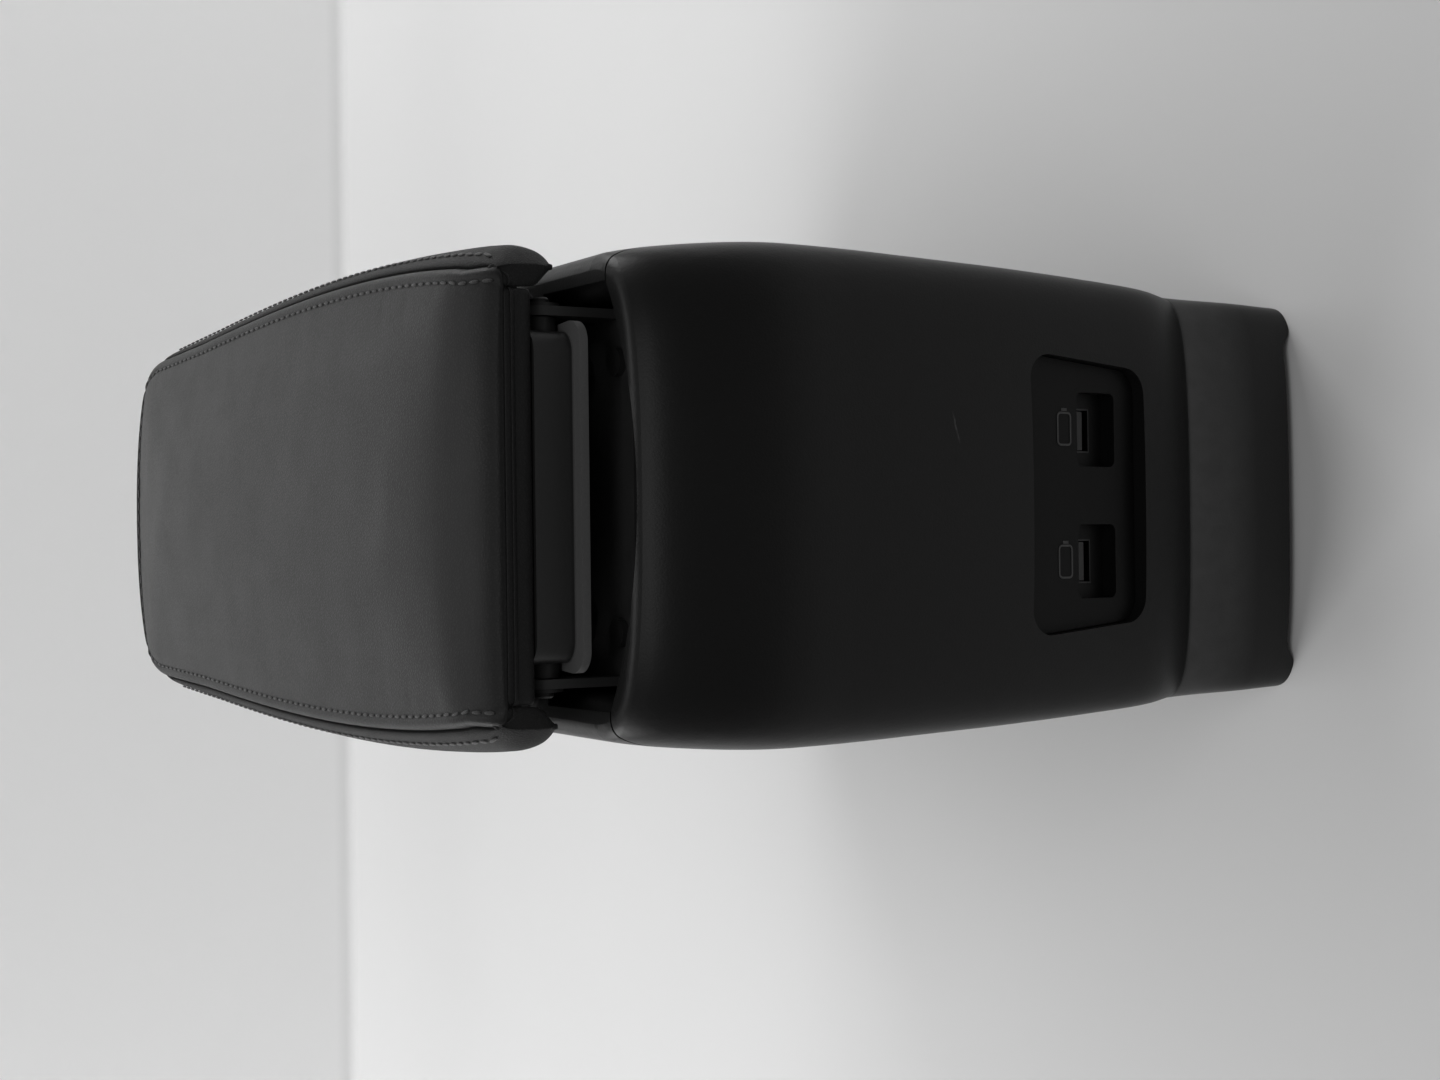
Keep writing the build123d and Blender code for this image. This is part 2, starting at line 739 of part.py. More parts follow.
# Hinge shroud with the lip around its lower edge
shroud_bottom = lid_under - shroud_drop
shroud_length = shroud_front_y - lid_rear_y
with BuildPart() as hinge_shroud:
    with BuildSketch(Plane.XY.offset(shroud_bottom)):
        with BuildLine():
            edge = shroud_half_width + shroud_lip_side
            back = lid_rear_y - shroud_lip_reach
            Line((0, back), (edge - shroud_corner, back))
            TangentArc((edge - shroud_corner, back), (edge, back + shroud_corner), tangent=(1, 0))
            Line((edge, back + shroud_corner), (shroud_half_width, shroud_front_y))
            Line((shroud_half_width, shroud_front_y), (0, shroud_front_y))
            mirror(about=Plane.YZ)
        make_face()
    extrude(amount=shroud_lip)
    with BuildSketch(Plane.XY.offset(shroud_bottom)):
        with Locations((0, lid_rear_y + shroud_length)):
            RectangleRounded(2 * shroud_half_width, 2 * shroud_length, shroud_corner)
        with Locations((0, shroud_front_y + shroud_length)):
            Rectangle(4 * shroud_half_width, 2 * shroud_length, mode=Mode.SUBTRACT)
    extrude(amount=shroud_drop)
    with BuildSketch(Plane.XY.offset(shroud_bottom)):
        with Locations((0, lid_rear_y + shroud_length)):
            RectangleRounded(
                2 * (shroud_half_width - shroud_wall),
                2 * (shroud_length - shroud_wall),
                shroud_corner - shroud_wall,
            )
    extrude(amount=shroud_drop, mode=Mode.SUBTRACT)
    with BuildSketch(Plane.XY.offset(lid_under)):
        with Locations((0, (lid_rear_y + shroud_wall + shroud_tab_front_y) / 2)):
            Rectangle(2 * shroud_tab_half, shroud_tab_front_y - lid_rear_y - shroud_wall)
    extrude(amount=-shroud_wall)
    with BuildSketch(across_at(0, pivot_y, pivot_z, 1)):
        Circle(bush_radius + panel_gap)
    extrude(amount=2 * shroud_half_width, both=True, mode=Mode.SUBTRACT)
    for x in (-shroud_screw_x, shroud_screw_x):
        with BuildSketch(up_at(x, shroud_screw_y, lid_under)):
            Circle(screw_radius + screw_clearance)
        extrude(amount=-shroud_wall, mode=Mode.SUBTRACT)
save(hinge_shroud, "hinge_shroud")

with BuildPart() as shroud_screws:
    for x in (-shroud_screw_x, shroud_screw_x):
        place = up_at(x, shroud_screw_y, lid_under - shroud_wall)
        add(screw_at(place, screw_radius, screw_head_radius, screw_head, shroud_wall + lid_bite))
save(shroud_screws, "shroud_screws")

# Lid frame, a ribbed plate inside the covers
rib_half = lid_front_half - liner_inset - liner_wall - frame_rib_margin
with BuildPart() as lid_frame:
    with BuildSketch(Plane.XY.offset(lid_under)):
        add(lid_outline(frame_inset))
    extrude(amount=frame_thickness)
    with BuildSketch(Plane.XY.offset(lid_under)):
        for y in frame_rib_places:
            with Locations((0, y)):
                Rectangle(2 * rib_half, frame_rib)
        rail_rear = liner_rear_y + 2 * liner_wall
        with Locations((0, (rail_rear + frame_rail_front_y) / 2)):
            with GridLocations(2 * frame_rail_x, 0, 2, 1):
                Rectangle(frame_rib, frame_rail_front_y - rail_rear)
    extrude(amount=-frame_rib_depth)
    frame_screws = [(side * arm_screw_x, y) for side in (-1, 1) for y in arm_screw_places]
    frame_screws += [(side * shroud_screw_x, shroud_screw_y) for side in (-1, 1)]
    frame_screws += [(side * liner_screw_x, y) for side in (-1, 1) for y in liner_screw_places]
    with BuildSketch(Plane.XY.offset(lid_under)):
        with Locations(*frame_screws):
            Circle(screw_radius + screw_clearance)
    extrude(amount=frame_thickness, mode=Mode.SUBTRACT)
save(lid_frame, "lid_frame")

# Lid liner, a shallow tray under the frame with posts for its screws
with BuildPart() as liner_hollow:
    with BuildSketch(Plane.XY.offset(liner_bottom + liner_wall)):
        add(lid_outline(liner_inset + liner_wall))
    extrude(amount=liner_depth)
    split(bisect_by=rear_at(0, liner_rear_y + liner_wall, 0), keep=Keep.BOTTOM)

with BuildPart() as lid_liner:
    with BuildSketch(Plane.XY.offset(liner_bottom)):
        add(lid_outline(liner_inset))
    extrude(amount=liner_depth)
    split(bisect_by=rear_at(0, liner_rear_y, 0), keep=Keep.BOTTOM)
    fillet(edges().group_by(Axis.Z)[0], liner_edge_radius)
    add(liner_hollow.part, mode=Mode.SUBTRACT)
    liner_screws_at = [(side * liner_screw_x, y) for side in (-1, 1) for y in liner_screw_places]
    with BuildSketch(Plane.XY.offset(liner_bottom)):
        with Locations(*liner_screws_at):
            Circle(liner_post_radius)
    extrude(amount=liner_depth)
    with BuildSketch(Plane.XY.offset(liner_bottom)):
        with Locations(*liner_screws_at):
            Circle(screw_head_radius + head_clearance)
    extrude(amount=liner_sink, mode=Mode.SUBTRACT)
    with BuildSketch(Plane.XY.offset(liner_bottom)):
        with Locations(*liner_screws_at):
            Circle(screw_radius + screw_clearance)
    extrude(amount=liner_depth, mode=Mode.SUBTRACT)
save(lid_liner, "lid_liner")

with BuildPart() as liner_screws:
    for x, y in liner_screws_at:
        place = up_at(x, y, liner_bottom + liner_sink)
        bite = liner_depth - liner_sink + lid_bite
        add(screw_at(place, screw_radius, screw_head_radius, screw_head, bite))
save(liner_screws, "liner_screws")

# Padded top of the lid, rolled over the rear cover, with a foot between the covers
overlap = lid_under + rear_cover_top + pad_seam
with BuildPart() as lid_pad:
    for rise, inset, rear_inset in pad_levels:
        with BuildSketch(Plane.XY.offset(frame_top + rise)):
            add(lid_outline(pad_inset + inset, lid_rear_corner, rear_inset))
    loft()
    extrude(faces().sort_by(Axis.Z)[0], amount=frame_top + pad_levels[0][0] - overlap)
    with BuildSketch(Plane.XY.offset(overlap)):
        add(lid_outline(pad_inset + pad_foot_inset, lid_rear_corner))
    extrude(amount=frame_top - overlap)
save(lid_pad, "lid_pad")

# Padded covers around the lid, cut from one ring
cover_levels = (
    (-cover_drop, cover_lower_inset),
    (-cover_belly_drop, cover_belly_inset),
    (0.0, 0.0),
    (cover_shoulder_rise, cover_shoulder_inset),
    (cover_top, cover_top_inset),
)
with BuildPart() as cover_ring:
    for rise, inset in cover_levels:
        with BuildSketch(Plane.XY.offset(lid_under + rise)):
            add(lid_outline(inset))
    loft()
    with BuildSketch(Plane.XY.offset(lid_under - 2 * cover_drop)):
        add(lid_outline(cover_thickness))
    extrude(amount=4 * cover_drop, mode=Mode.SUBTRACT)
    with BuildSketch(Plane.YZ):
        with BuildLine():
            horn_z = lid_under - cover_horn_drop
            low = lid_under - cover_drop
            Polyline(
                (lid_rear_y - cut_over, low - cut_over),
                (lid_rear_y - cut_over, horn_z),
                (cover_horn_y, horn_z),
                (cover_slope_y, low),
                (cover_slope_y, low - cut_over),
                close=True,
            )
        make_face()
    extrude(amount=2 * lid_rear_half, both=True, mode=Mode.SUBTRACT)
    with BuildSketch(Plane.XY.offset(lid_under + rear_cover_top)):
        with Locations((0, lid_rear_y)):
            Rectangle(4 * lid_rear_half, 2 * (rear_cover_front_y - lid_rear_y))
    extrude(amount=cover_top, mode=Mode.SUBTRACT)

with BuildPart() as rear_cover:
    add(cover_ring.part)
    with BuildSketch(Plane.XY.offset(lid_under)):
        with Locations((0, lid_rear_y)):
            Rectangle(2 * rear_cover_half, 2 * (rear_cover_front_y - lid_rear_y))
    extrude(amount=2 * cover_top, mode=Mode.INTERSECT)
save(rear_cover, "rear_cover")

with BuildPart() as front_cover:
    add(cover_ring.part)
    split(bisect_by=rear_at(0, front_cover_rear_y + cover_seam, 0), keep=Keep.BOTTOM)
save(front_cover, "front_cover")

for side, name in ((-1, "left_side_cover"), (1, "right_side_cover")):
    with BuildPart() as side_cover:
        add(cover_ring.part)
        split(bisect_by=rear_at(0, front_cover_rear_y, 0), keep=Keep.TOP)
        split(bisect_by=across_at(side * (rear_cover_half + cover_seam), 0, 0, side), keep=Keep.TOP)
    save(side_cover, name)

# Charging insert plate with its skirt and two pockets
pocket_places = ((-pocket_x, -pocket_drop), (pocket_x, -pocket_drop))
with BuildPart() as usb_bezel:
    with BuildSketch(insert_face):
        add(insert_outline(0))
    extrude(amount=-insert_plate)
    with BuildSketch(insert_face):
        add(insert_outline(0))
        add(insert_outline(-insert_skirt_wall), mode=Mode.SUBTRACT)
    extrude(amount=-insert_skirt)
    with BuildSketch(insert_face):
        with Locations(*pocket_places):
            RectangleRounded(pocket_width, pocket_tall, pocket_corner)
    extrude(amount=-insert_plate, mode=Mode.SUBTRACT)
save(usb_bezel, "usb_bezel")

# Charging sockets, each with a metal shell and a contact tongue
for side, name in ((-1, "left"), (1, "right")):
    middle = (side * pocket_x, -pocket_drop)
    with BuildPart() as usb_socket:
        with BuildSketch(insert_face.offset(-insert_plate)):
            with Locations(middle):
                Rectangle(pocket_width + 2 * socket_rim, pocket_tall + 2 * socket_rim)
        extrude(amount=-socket_depth)
        with BuildSketch(insert_face.offset(-insert_plate)):
            with Locations(middle):
                RectangleRounded(pocket_width, pocket_tall, pocket_corner)
        extrude(amount=insert_plate - pocket_depth, mode=Mode.SUBTRACT)
        with BuildSketch(insert_face.offset(-pocket_depth)):
            with Locations(middle):
                Rectangle(slot_width, slot_tall)
        extrude(amount=-slot_depth, mode=Mode.SUBTRACT)
    save(usb_socket, "usb_socket_" + name)
    shell_width = slot_width - 2 * shell_clearance
    shell_tall = slot_tall - 2 * shell_clearance
    with BuildPart() as usb_shell:
        with BuildSketch(insert_face.offset(-pocket_depth)):
            with Locations(middle):
                Rectangle(shell_width, shell_tall)
                Rectangle(shell_width - 2 * shell_wall, shell_tall - 2 * shell_wall, mode=Mode.SUBTRACT)
        extrude(amount=-slot_depth)
    save(usb_shell, "usb_shell_" + name)
    with BuildPart() as usb_tongue:
        with BuildSketch(insert_face.offset(-pocket_depth - slot_depth)):
            with Locations((middle[0], middle[1] + tongue_rise)):
                Rectangle(tongue_width, tongue_thickness)
        extrude(amount=tongue_length)
    save(usb_tongue, "usb_tongue_" + name)

# Charger board behind the sockets, with its power header
board_face = insert_face.offset(-insert_plate - socket_depth)
with BuildPart() as charger_board:
    with BuildSketch(board_face):
        with Locations((0, -pocket_drop)):
            Rectangle(board_width, board_tall)
    extrude(amount=-board_thickness)
save(charger_board, "charger_board")

with BuildPart() as power_header:
    with BuildSketch(board_face.offset(-board_thickness)):
        with Locations((0, -pocket_drop)):
            Rectangle(header_width, header_tall)
    extrude(amount=-header_depth)
    with BuildSketch(board_face.offset(-board_thickness - header_wall)):
        with Locations((0, -pocket_drop)):
            Rectangle(header_width - 2 * header_wall, header_tall - 2 * header_wall)
    extrude(amount=-header_depth, mode=Mode.SUBTRACT)
save(power_header, "power_header")

# Steel base bracket with four floor bolt holes
with BuildPart() as base_bracket:
    with BuildSketch(Plane.XY):
        Rectangle(2 * base_half_width, 2 * base_half_length)
        window = (2 * base_window_half_x, 2 * base_window_half_y)
        RectangleRounded(*window, base_window_corner, mode=Mode.SUBTRACT)
        with GridLocations(2 * bolt_x, 2 * bolt_y, 2, 2):
            Circle(bolt_hole_radius, mode=Mode.SUBTRACT)
    extrude(amount=base_thickness)
    with BuildSketch(Plane.XY):
        with GridLocations(2 * base_half_width - base_thickness, 0, 2, 1):
            Rectangle(base_thickness, 2 * base_half_length)
    extrude(amount=base_flange_height)
    for y in (-base_screw_y, base_screw_y):
        with BuildSketch(across_at(0, y, base_screw_height, 1)):
            Circle(base_screw_radius + screw_clearance)
        extrude(amount=base_half_width, both=True, mode=Mode.SUBTRACT)
save(base_bracket, "base_bracket")

with BuildPart() as bracket_screws:
    for side in (-1, 1):
        for y in (-base_screw_y, base_screw_y):
            place = across_at(side * (base_half_width - base_thickness), y, base_screw_height, side)
            bite = base_thickness + base_screw_bite
            add(screw_at(place, base_screw_radius, base_screw_head_radius, base_screw_head, bite))
save(bracket_screws, "bracket_screws")
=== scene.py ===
import math

import bmesh
import bpy
from mathutils import Matrix, Vector
from mathutils.geometry import interpolate_bezier


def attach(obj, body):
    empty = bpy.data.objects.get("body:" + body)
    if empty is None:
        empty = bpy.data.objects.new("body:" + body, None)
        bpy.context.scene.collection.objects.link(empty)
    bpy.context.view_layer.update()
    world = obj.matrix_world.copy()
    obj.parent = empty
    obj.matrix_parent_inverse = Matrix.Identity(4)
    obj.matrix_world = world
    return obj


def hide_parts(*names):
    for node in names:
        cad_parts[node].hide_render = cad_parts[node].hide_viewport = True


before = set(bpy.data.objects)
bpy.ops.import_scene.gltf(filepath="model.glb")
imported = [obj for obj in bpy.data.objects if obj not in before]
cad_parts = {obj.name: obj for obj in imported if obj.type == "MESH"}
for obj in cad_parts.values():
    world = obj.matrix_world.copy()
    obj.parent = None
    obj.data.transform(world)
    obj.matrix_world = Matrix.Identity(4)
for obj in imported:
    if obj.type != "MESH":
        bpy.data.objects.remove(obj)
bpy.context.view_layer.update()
scene = bpy.context.scene
mm = 0.001
print("frame loaded:", len(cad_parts), "nodes")


# shader maths: a wire is one output socket, and its operators add Math nodes
class Wire:
    def __init__(self, paint, socket):
        self.paint = paint
        self.socket = socket

    def calc(self, operation, first, second=0.0):
        return self.paint.node("ShaderNodeMath", {"operation": operation}, {0: first, 1: second})

    def __add__(self, other):
        return self.calc("ADD", self, other)

    def __radd__(self, other):
        return self.calc("ADD", other, self)

    def __sub__(self, other):
        return self.calc("SUBTRACT", self, other)

    def __rsub__(self, other):
        return self.calc("SUBTRACT", other, self)

    def __mul__(self, other):
        return self.calc("MULTIPLY", self, other)

    def __rmul__(self, other):
        return self.calc("MULTIPLY", other, self)

    def __truediv__(self, other):
        return self.calc("DIVIDE", self, other)

    def __abs__(self):
        return self.calc("ABSOLUTE", self)

    def least(self, other):
        return self.calc("MINIMUM", self, other)

    def most(self, other):
        return self.calc("MAXIMUM", self, other)

    def clamped(self):
        return self.most(0.0).least(1.0)

    def wave(self, pitch):  # bumps of one pitch along a coordinate
        return abs(self.calc("SINE", self * (math.pi / pitch)))


# one material with its Principled shader, every other node comes from node()
class Paint:
    def __init__(self, name):
        self.material = bpy.data.materials.new(name)
        self.material.use_nodes = True
        self.tree = self.material.node_tree
        self.shader = self.tree.nodes["Principled BSDF"]
        self.place = self.node("ShaderNodeTexCoord", output="Object")

    def plug(self, socket, value):
        if isinstance(value, Wire):
            self.tree.links.new(value.socket, socket)
        else:
            socket.default_value = value

    def node(self, kind, settings=None, inputs=None, output=0):
        made = self.tree.nodes.new(kind)
        for key, value in (settings or {}).items():
            setattr(made, key, value)
        for key, value in (inputs or {}).items():
            self.plug(made.inputs[key], value)
        return Wire(self, made.outputs[output])

    def noise(self, size, detail=2.0, rough=0.5):  # size of the blobs in mm
        inputs = {"Vector": self.place, "Scale": 1 / (size * mm), "Detail": detail, "Roughness": rough}
        return self.node("ShaderNodeTexNoise", inputs=inputs)

    def cells(self, size, feature="DISTANCE_TO_EDGE"):  # size of the cells in mm
        inputs = {"Vector": self.place, "Scale": 1 / (size * mm)}
        return self.node("ShaderNodeTexVoronoi", {"feature": feature}, inputs, "Distance")

    def axis(self, letter):  # object coordinate in mm
        return self.node("ShaderNodeSeparateXYZ", inputs={"Vector": self.place}, output=letter) / mm

    def blendColour(self, share, first, second):
        return self.node("ShaderNodeMix", {"data_type": "RGBA"}, {0: share, 6: first, 7: second}, 2)

    def bump(self, height, depth, strength=1.0):  # depth in mm
        return self.node("ShaderNodeBump", inputs={"Strength": strength, "Distance": depth * mm, "Height": height})

    def set(self, **values):
        for key, value in values.items():
            self.plug(self.shader.inputs[key.replace("_", " ")], value)
        return self.material


def tone(level):  # linear grey from a 0-255 screen tone
    value = level / 255
    grey = value / 12.92 if value <= 0.04045 else ((value + 0.055) / 1.055) ** 2.4
    return (grey, grey, grey, 1.0)


# leather: pebbles parted by fine creases, duller in the creases, with painted shade darkening them
def leatherFinish(name, look):
    paint = Paint(name)
    pebble = (paint.cells(look["pebble"]) * look["crease"]).least(1.0)
    small = (paint.cells(look["pebble"] * 0.45) * look["crease"]).least(1.0)
    pores = paint.noise(look["pebble"] * 0.3, 2.0)
    cloud = paint.noise(46.0, 3.0)
    handled = paint.noise(17.0, 2.0)
    height = pebble * 0.62 + small * 0.26 + pores * 0.12
    # painted shade darkens the creases; the cloud is a random tone
    shade = (pebble * 0.55 + cloud * 0.45).least(1.0)
    colour = paint.blendColour(shade, look["dark"], look["light"])
    rough = look["rough"] - (handled - 0.5) * 0.10 + (1 - pebble) * 0.06
    return paint.set(
        Base_Color=colour, Roughness=rough, Normal=paint.bump(height, look["depth"], look["strength"]),
        Specular_IOR_Level=look["gloss"], Sheen_Weight=look["sheen"], Sheen_Roughness=0.45,
    )


# moulded plastic: a fine spark-eroded grain over slow waves in gloss
def plasticFinish(name, look):
    paint = Paint(name)
    grain = paint.noise(look["grain"], 3.0, 0.6)
    pits = (paint.cells(look["grain"] * 1.7, "F1") * 1.4).least(1.0)
    cloud = paint.noise(60.0, 2.0)
    colour = paint.blendColour(cloud * 0.6 + grain * 0.4, look["dark"], look["light"])
    rough = look["rough"] + (cloud - 0.5) * 0.08 + (grain - 0.5) * 0.12
    if "scuff" in look:  # a short pale scratch
        x, z, length, wide, turn, pale = look["scuff"]
        across, up = paint.axis("X") - x, paint.axis("Z") - z
        along = across * math.cos(turn) + up * math.sin(turn)
        aside = up * math.cos(turn) - across * math.sin(turn) + (paint.noise(3.0) - 0.5) * 0.7
        inside = (1 - abs(along) / length).most(0.0) * (1 - abs(aside) / wide).most(0.0)
        mark = (inside * 2.2).least(1.0) * (paint.noise(1.1) * 1.5 - 0.25).clamped()
        colour = paint.blendColour(mark, colour, pale)
    if "wearAndPaintedLight" in look:  # painted highlight: paler below one height, standing in for light falling there
        height, soft, pale = look["wearAndPaintedLight"]
        below = ((height - paint.axis("Z")) / soft + 0.5).clamped()
        colour = paint.blendColour(below * (0.86 + (grain - 0.5) * 0.3), colour, pale)
    if "dustAndPaintedHighlight" in look:  # painted highlight on a ledge between two heights, thin at its lower end
        low, high, soft, pale = look["dustAndPaintedHighlight"]
        level = paint.axis("Z")
        band = ((level - low) / (high - low)).clamped() * ((high - level) / soft + 0.5).clamped()
        colour = paint.blendColour(band * (0.8 + (paint.noise(5.0, 4.0) - 0.5) * 0.5), colour, pale)
    grained = paint.bump(grain * 0.6 + pits * 0.4, look["depth"], look["strength"])
    return paint.set(Base_Color=colour, Roughness=rough, Normal=grained, Specular_IOR_Level=look["gloss"])


# steel: brushed along one axis, with a faint stain
def steelFinish(name, look):
    paint = Paint(name)
    drawn = paint.node("ShaderNodeMapping", inputs={"Vector": paint.place, "Scale": look["brush"]})
    lines = paint.node("ShaderNodeTexNoise", inputs={"Vector": drawn, "Scale": 900.0, "Detail": 3.0})
    stain = paint.noise(9.0, 3.0)
    colour = paint.blendColour(stain, look["dark"], look["light"])
    rough = look["rough"] + (lines - 0.5) * 0.22 + (stain - 0.5) * 0.1
    relief = paint.bump(lines, 0.02, 0.5)
    return paint.set(Base_Color=colour, Metallic=look["metal"], Roughness=rough, Normal=relief)


def rubberFinish(name, look):
    paint = Paint(name)
    ribs = paint.axis("Y").wave(look["rib"])
    dustAndPaintedHighlight = paint.noise(6.0, 4.0, 0.65)
    # the noise is dust; the rib wave darkens the troughs between ribs, painted shade
    colour = paint.blendColour(dustAndPaintedHighlight * 0.8 + ribs * 0.2, look["dark"], look["light"])
    relief = paint.bump(ribs * look["ribbed"] + dustAndPaintedHighlight * 0.3, 0.25, 0.8)
    return paint.set(Base_Color=colour, Roughness=0.82 + (dustAndPaintedHighlight - 0.5) * 0.12, Normal=relief)


def boardFinish(name):
    paint = Paint(name)
    tracks = (paint.cells(4.0) * 9.0).least(1.0)
    weave = paint.noise(0.7, 2.0)
    colour = paint.blendColour(tracks, (0.02, 0.09, 0.04, 1.0), (0.008, 0.045, 0.018, 1.0))
    relief = paint.bump(tracks + weave * 0.2, 0.05, 0.6)
    return paint.set(Base_Color=colour, Roughness=0.35 + weave * 0.15, Normal=relief)


def threadFinish(name, shade):
    paint = Paint(name)
    twist = (paint.axis("Y") + paint.axis("X") * 0.8 + paint.axis("Z")).wave(0.55)
    # painted shade: the grooves of the twist are darker than its crests
    colour = paint.blendColour(twist, tone(shade * 0.6), tone(shade * 1.2))
    relief = paint.bump(twist, 0.12, 0.9)
    return paint.set(Base_Color=colour, Roughness=0.6 + twist * 0.15, Normal=relief, Sheen_Weight=0.2)


def printFinish(name, shade):
    paint = Paint(name)
    wearAndPaintedLight = paint.noise(0.8, 3.0)
    colour = paint.blendColour(wearAndPaintedLight, tone(shade * 0.8), tone(shade * 1.15))
    return paint.set(Base_Color=colour, Roughness=0.5 + wearAndPaintedLight * 0.2)


topLeatherLook = {
    "pebble": 0.95, "crease": 3.4, "depth": 0.10, "strength": 0.5, "dark": tone(26), "light": tone(35),
    "rough": 0.42, "gloss": 0.15, "sheen": 0.02,
}
sideLeatherLook = {
    "pebble": 0.75, "crease": 3.0, "depth": 0.16, "strength": 0.8, "dark": tone(20), "light": tone(30),
    "rough": 0.60, "gloss": 0.2, "sheen": 0.03,
}
consoleLook = {
    "grain": 0.42, "depth": 0.07, "strength": 0.5, "dark": tone(17), "light": tone(23),
    "rough": 0.40, "gloss": 0.2,
}
# painted highlight: the side panels are paler below 28 mm, to match the rear panel's painted foot
sidePanelLook = dict(consoleLook, wearAndPaintedLight=(28.0, 16.0, tone(34)))
# painted highlight: the foot below the 36 mm crease is paler, and a paler band just under the crease stands in for
# light on the sweep; the scuff is a real scratch
rearPanelLook = dict(
    consoleLook, scuff=(17.8, 131.9, 4.6, 0.34, 0.25, tone(78)), wearAndPaintedLight=(36.0, 2.0, tone(42)),
    dustAndPaintedHighlight=(16.0, 36.2, 1.5, tone(86)),
)
# painted highlight: the shroud's lip below 228.9 mm is far paler than its face, standing in for light on the lip
shroudLook = {
    "grain": 0.6, "depth": 0.05, "strength": 0.5, "dark": tone(34), "light": tone(41),
    "rough": 0.42, "gloss": 0.3, "wearAndPaintedLight": (228.9, 0.4, tone(104)),
}
innerLook = {
    "grain": 0.9, "depth": 0.10, "strength": 0.6, "dark": tone(34), "light": tone(42),
    "rough": 0.62, "gloss": 0.2,
}
insertLook = {
    "grain": 0.35, "depth": 0.04, "strength": 0.4, "dark": tone(11), "light": tone(15),
    "rough": 0.44, "gloss": 0.14,
}
socketLook = {
    "grain": 0.5, "depth": 0.03, "strength": 0.4, "dark": tone(9), "light": tone(13),
    "rough": 0.45, "gloss": 0.2,
}
tongueLook = {
    "grain": 0.4, "depth": 0.02, "strength": 0.3, "dark": tone(48), "light": tone(62),
    "rough": 0.36, "gloss": 0.4,
}
bushLook = {
    "grain": 0.7, "depth": 0.03, "strength": 0.4, "dark": tone(30), "light": tone(37),
    "rough": 0.45, "gloss": 0.3,
}
brightSteelLook = {"brush": (0.05, 1.0, 1.0), "metal": 1.0, "dark": tone(58), "light": tone(76), "rough": 0.42}
coatedSteelLook = {"brush": (0.3, 0.3, 1.0), "metal": 0.0, "dark": tone(36), "light": tone(44), "rough": 0.62}
darkSteelLook = {"brush": (1.0, 1.0, 0.2), "metal": 0.4, "dark": tone(32), "light": tone(44), "rough": 0.55}
matLook = {"rib": 3.0, "ribbed": 1.0, "dark": tone(22), "light": tone(30)}
stopLook = {"rib": 9.0, "ribbed": 0.0, "dark": tone(20), "light": tone(28)}

topLeather = leatherFinish("topLeather", topLeatherLook)
sideLeather = leatherFinish("sideLeather", sideLeatherLook)

nodeFinishes = (
    (plasticFinish("rearPanelPlastic", rearPanelLook), ("rear_panel",)),
    (plasticFinish("consolePlastic", sidePanelLook), ("left_side_panel", "right_side_panel", "front_panel")),
    (plasticFinish("shroudPlastic", shroudLook), ("hinge_shroud",)),
    (plasticFinish("innerPlastic", innerLook), ("storage_bin", "lid_liner", "lid_frame")),
    (plasticFinish("insertPlastic", insertLook), ("usb_bezel",)),
    (plasticFinish("socketPlastic", socketLook), ("usb_socket_left", "usb_socket_right", "power_header")),
    (plasticFinish("tonguePlastic", tongueLook), ("usb_tongue_left", "usb_tongue_right")),
    (plasticFinish("bushNylon", bushLook), ("hinge_bushes",)),
    (steelFinish("brightSteel", brightSteelLook), ("usb_shell_left", "usb_shell_right")),
    (steelFinish("coatedSteel", coatedSteelLook),
     ("hinge_bracket", "base_bracket", "left_hinge_arm", "right_hinge_arm")),
    (steelFinish("darkSteel", darkSteelLook),
     ("bin_screws", "panel_screws", "bracket_screws", "hinge_screws", "liner_screws", "shroud_screws",
      "arm_screws", "hinge_pin", "pin_clips")),
    (rubberFinish("matRubber", matLook), ("bin_mat",)),
    (rubberFinish("stopRubber", stopLook), ("rubber_stops",)),
    (boardFinish("chargerBoard"), ("charger_board",)),
)
for finish, nodeNames in nodeFinishes:
    for nodeName in nodeNames:
        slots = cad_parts[nodeName].data.materials
        slots.clear()
        slots.append(finish)
print("finishes on the moulded and metal nodes")


# a finished piece: mesh at the origin, smooth, riding on its body
def addPiece(name, bm, material, body):
    mesh = bpy.data.meshes.new(name)
    bm.normal_update()
    bm.to_mesh(mesh)
    bm.free()
    mesh.shade_smooth()
    mesh.materials.append(material)
    piece = bpy.data.objects.new(name, mesh)
    scene.collection.objects.link(piece)
    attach(piece, body)
    return piece


def addSubdivision(piece, levels):
    smoother = piece.modifiers.new("smoother", "SUBSURF")
    smoother.levels = levels
    smoother.render_levels = levels


# a square grid whose vertices are then placed by column and row
def sheetGrid(columns, rows, placeAt):
    bm = bmesh.new()
    bmesh.ops.create_grid(bm, x_segments=columns - 1, y_segments=rows - 1, size=0.5)
    table = {}
    for v in bm.verts:
        column = round((v.co.x + 0.5) * (columns - 1))
        row = round((v.co.y + 0.5) * (rows - 1))
        table[column, row] = v
    for (column, row), v in table.items():
        v.co = placeAt(column, row)
    return bm, table


# sewn leather over foam: pressure swells it between its sewn vertices
clothLook = {"quality": 6, "mass": 0.25, "tension": 60, "bending": 4, "frames": 20}


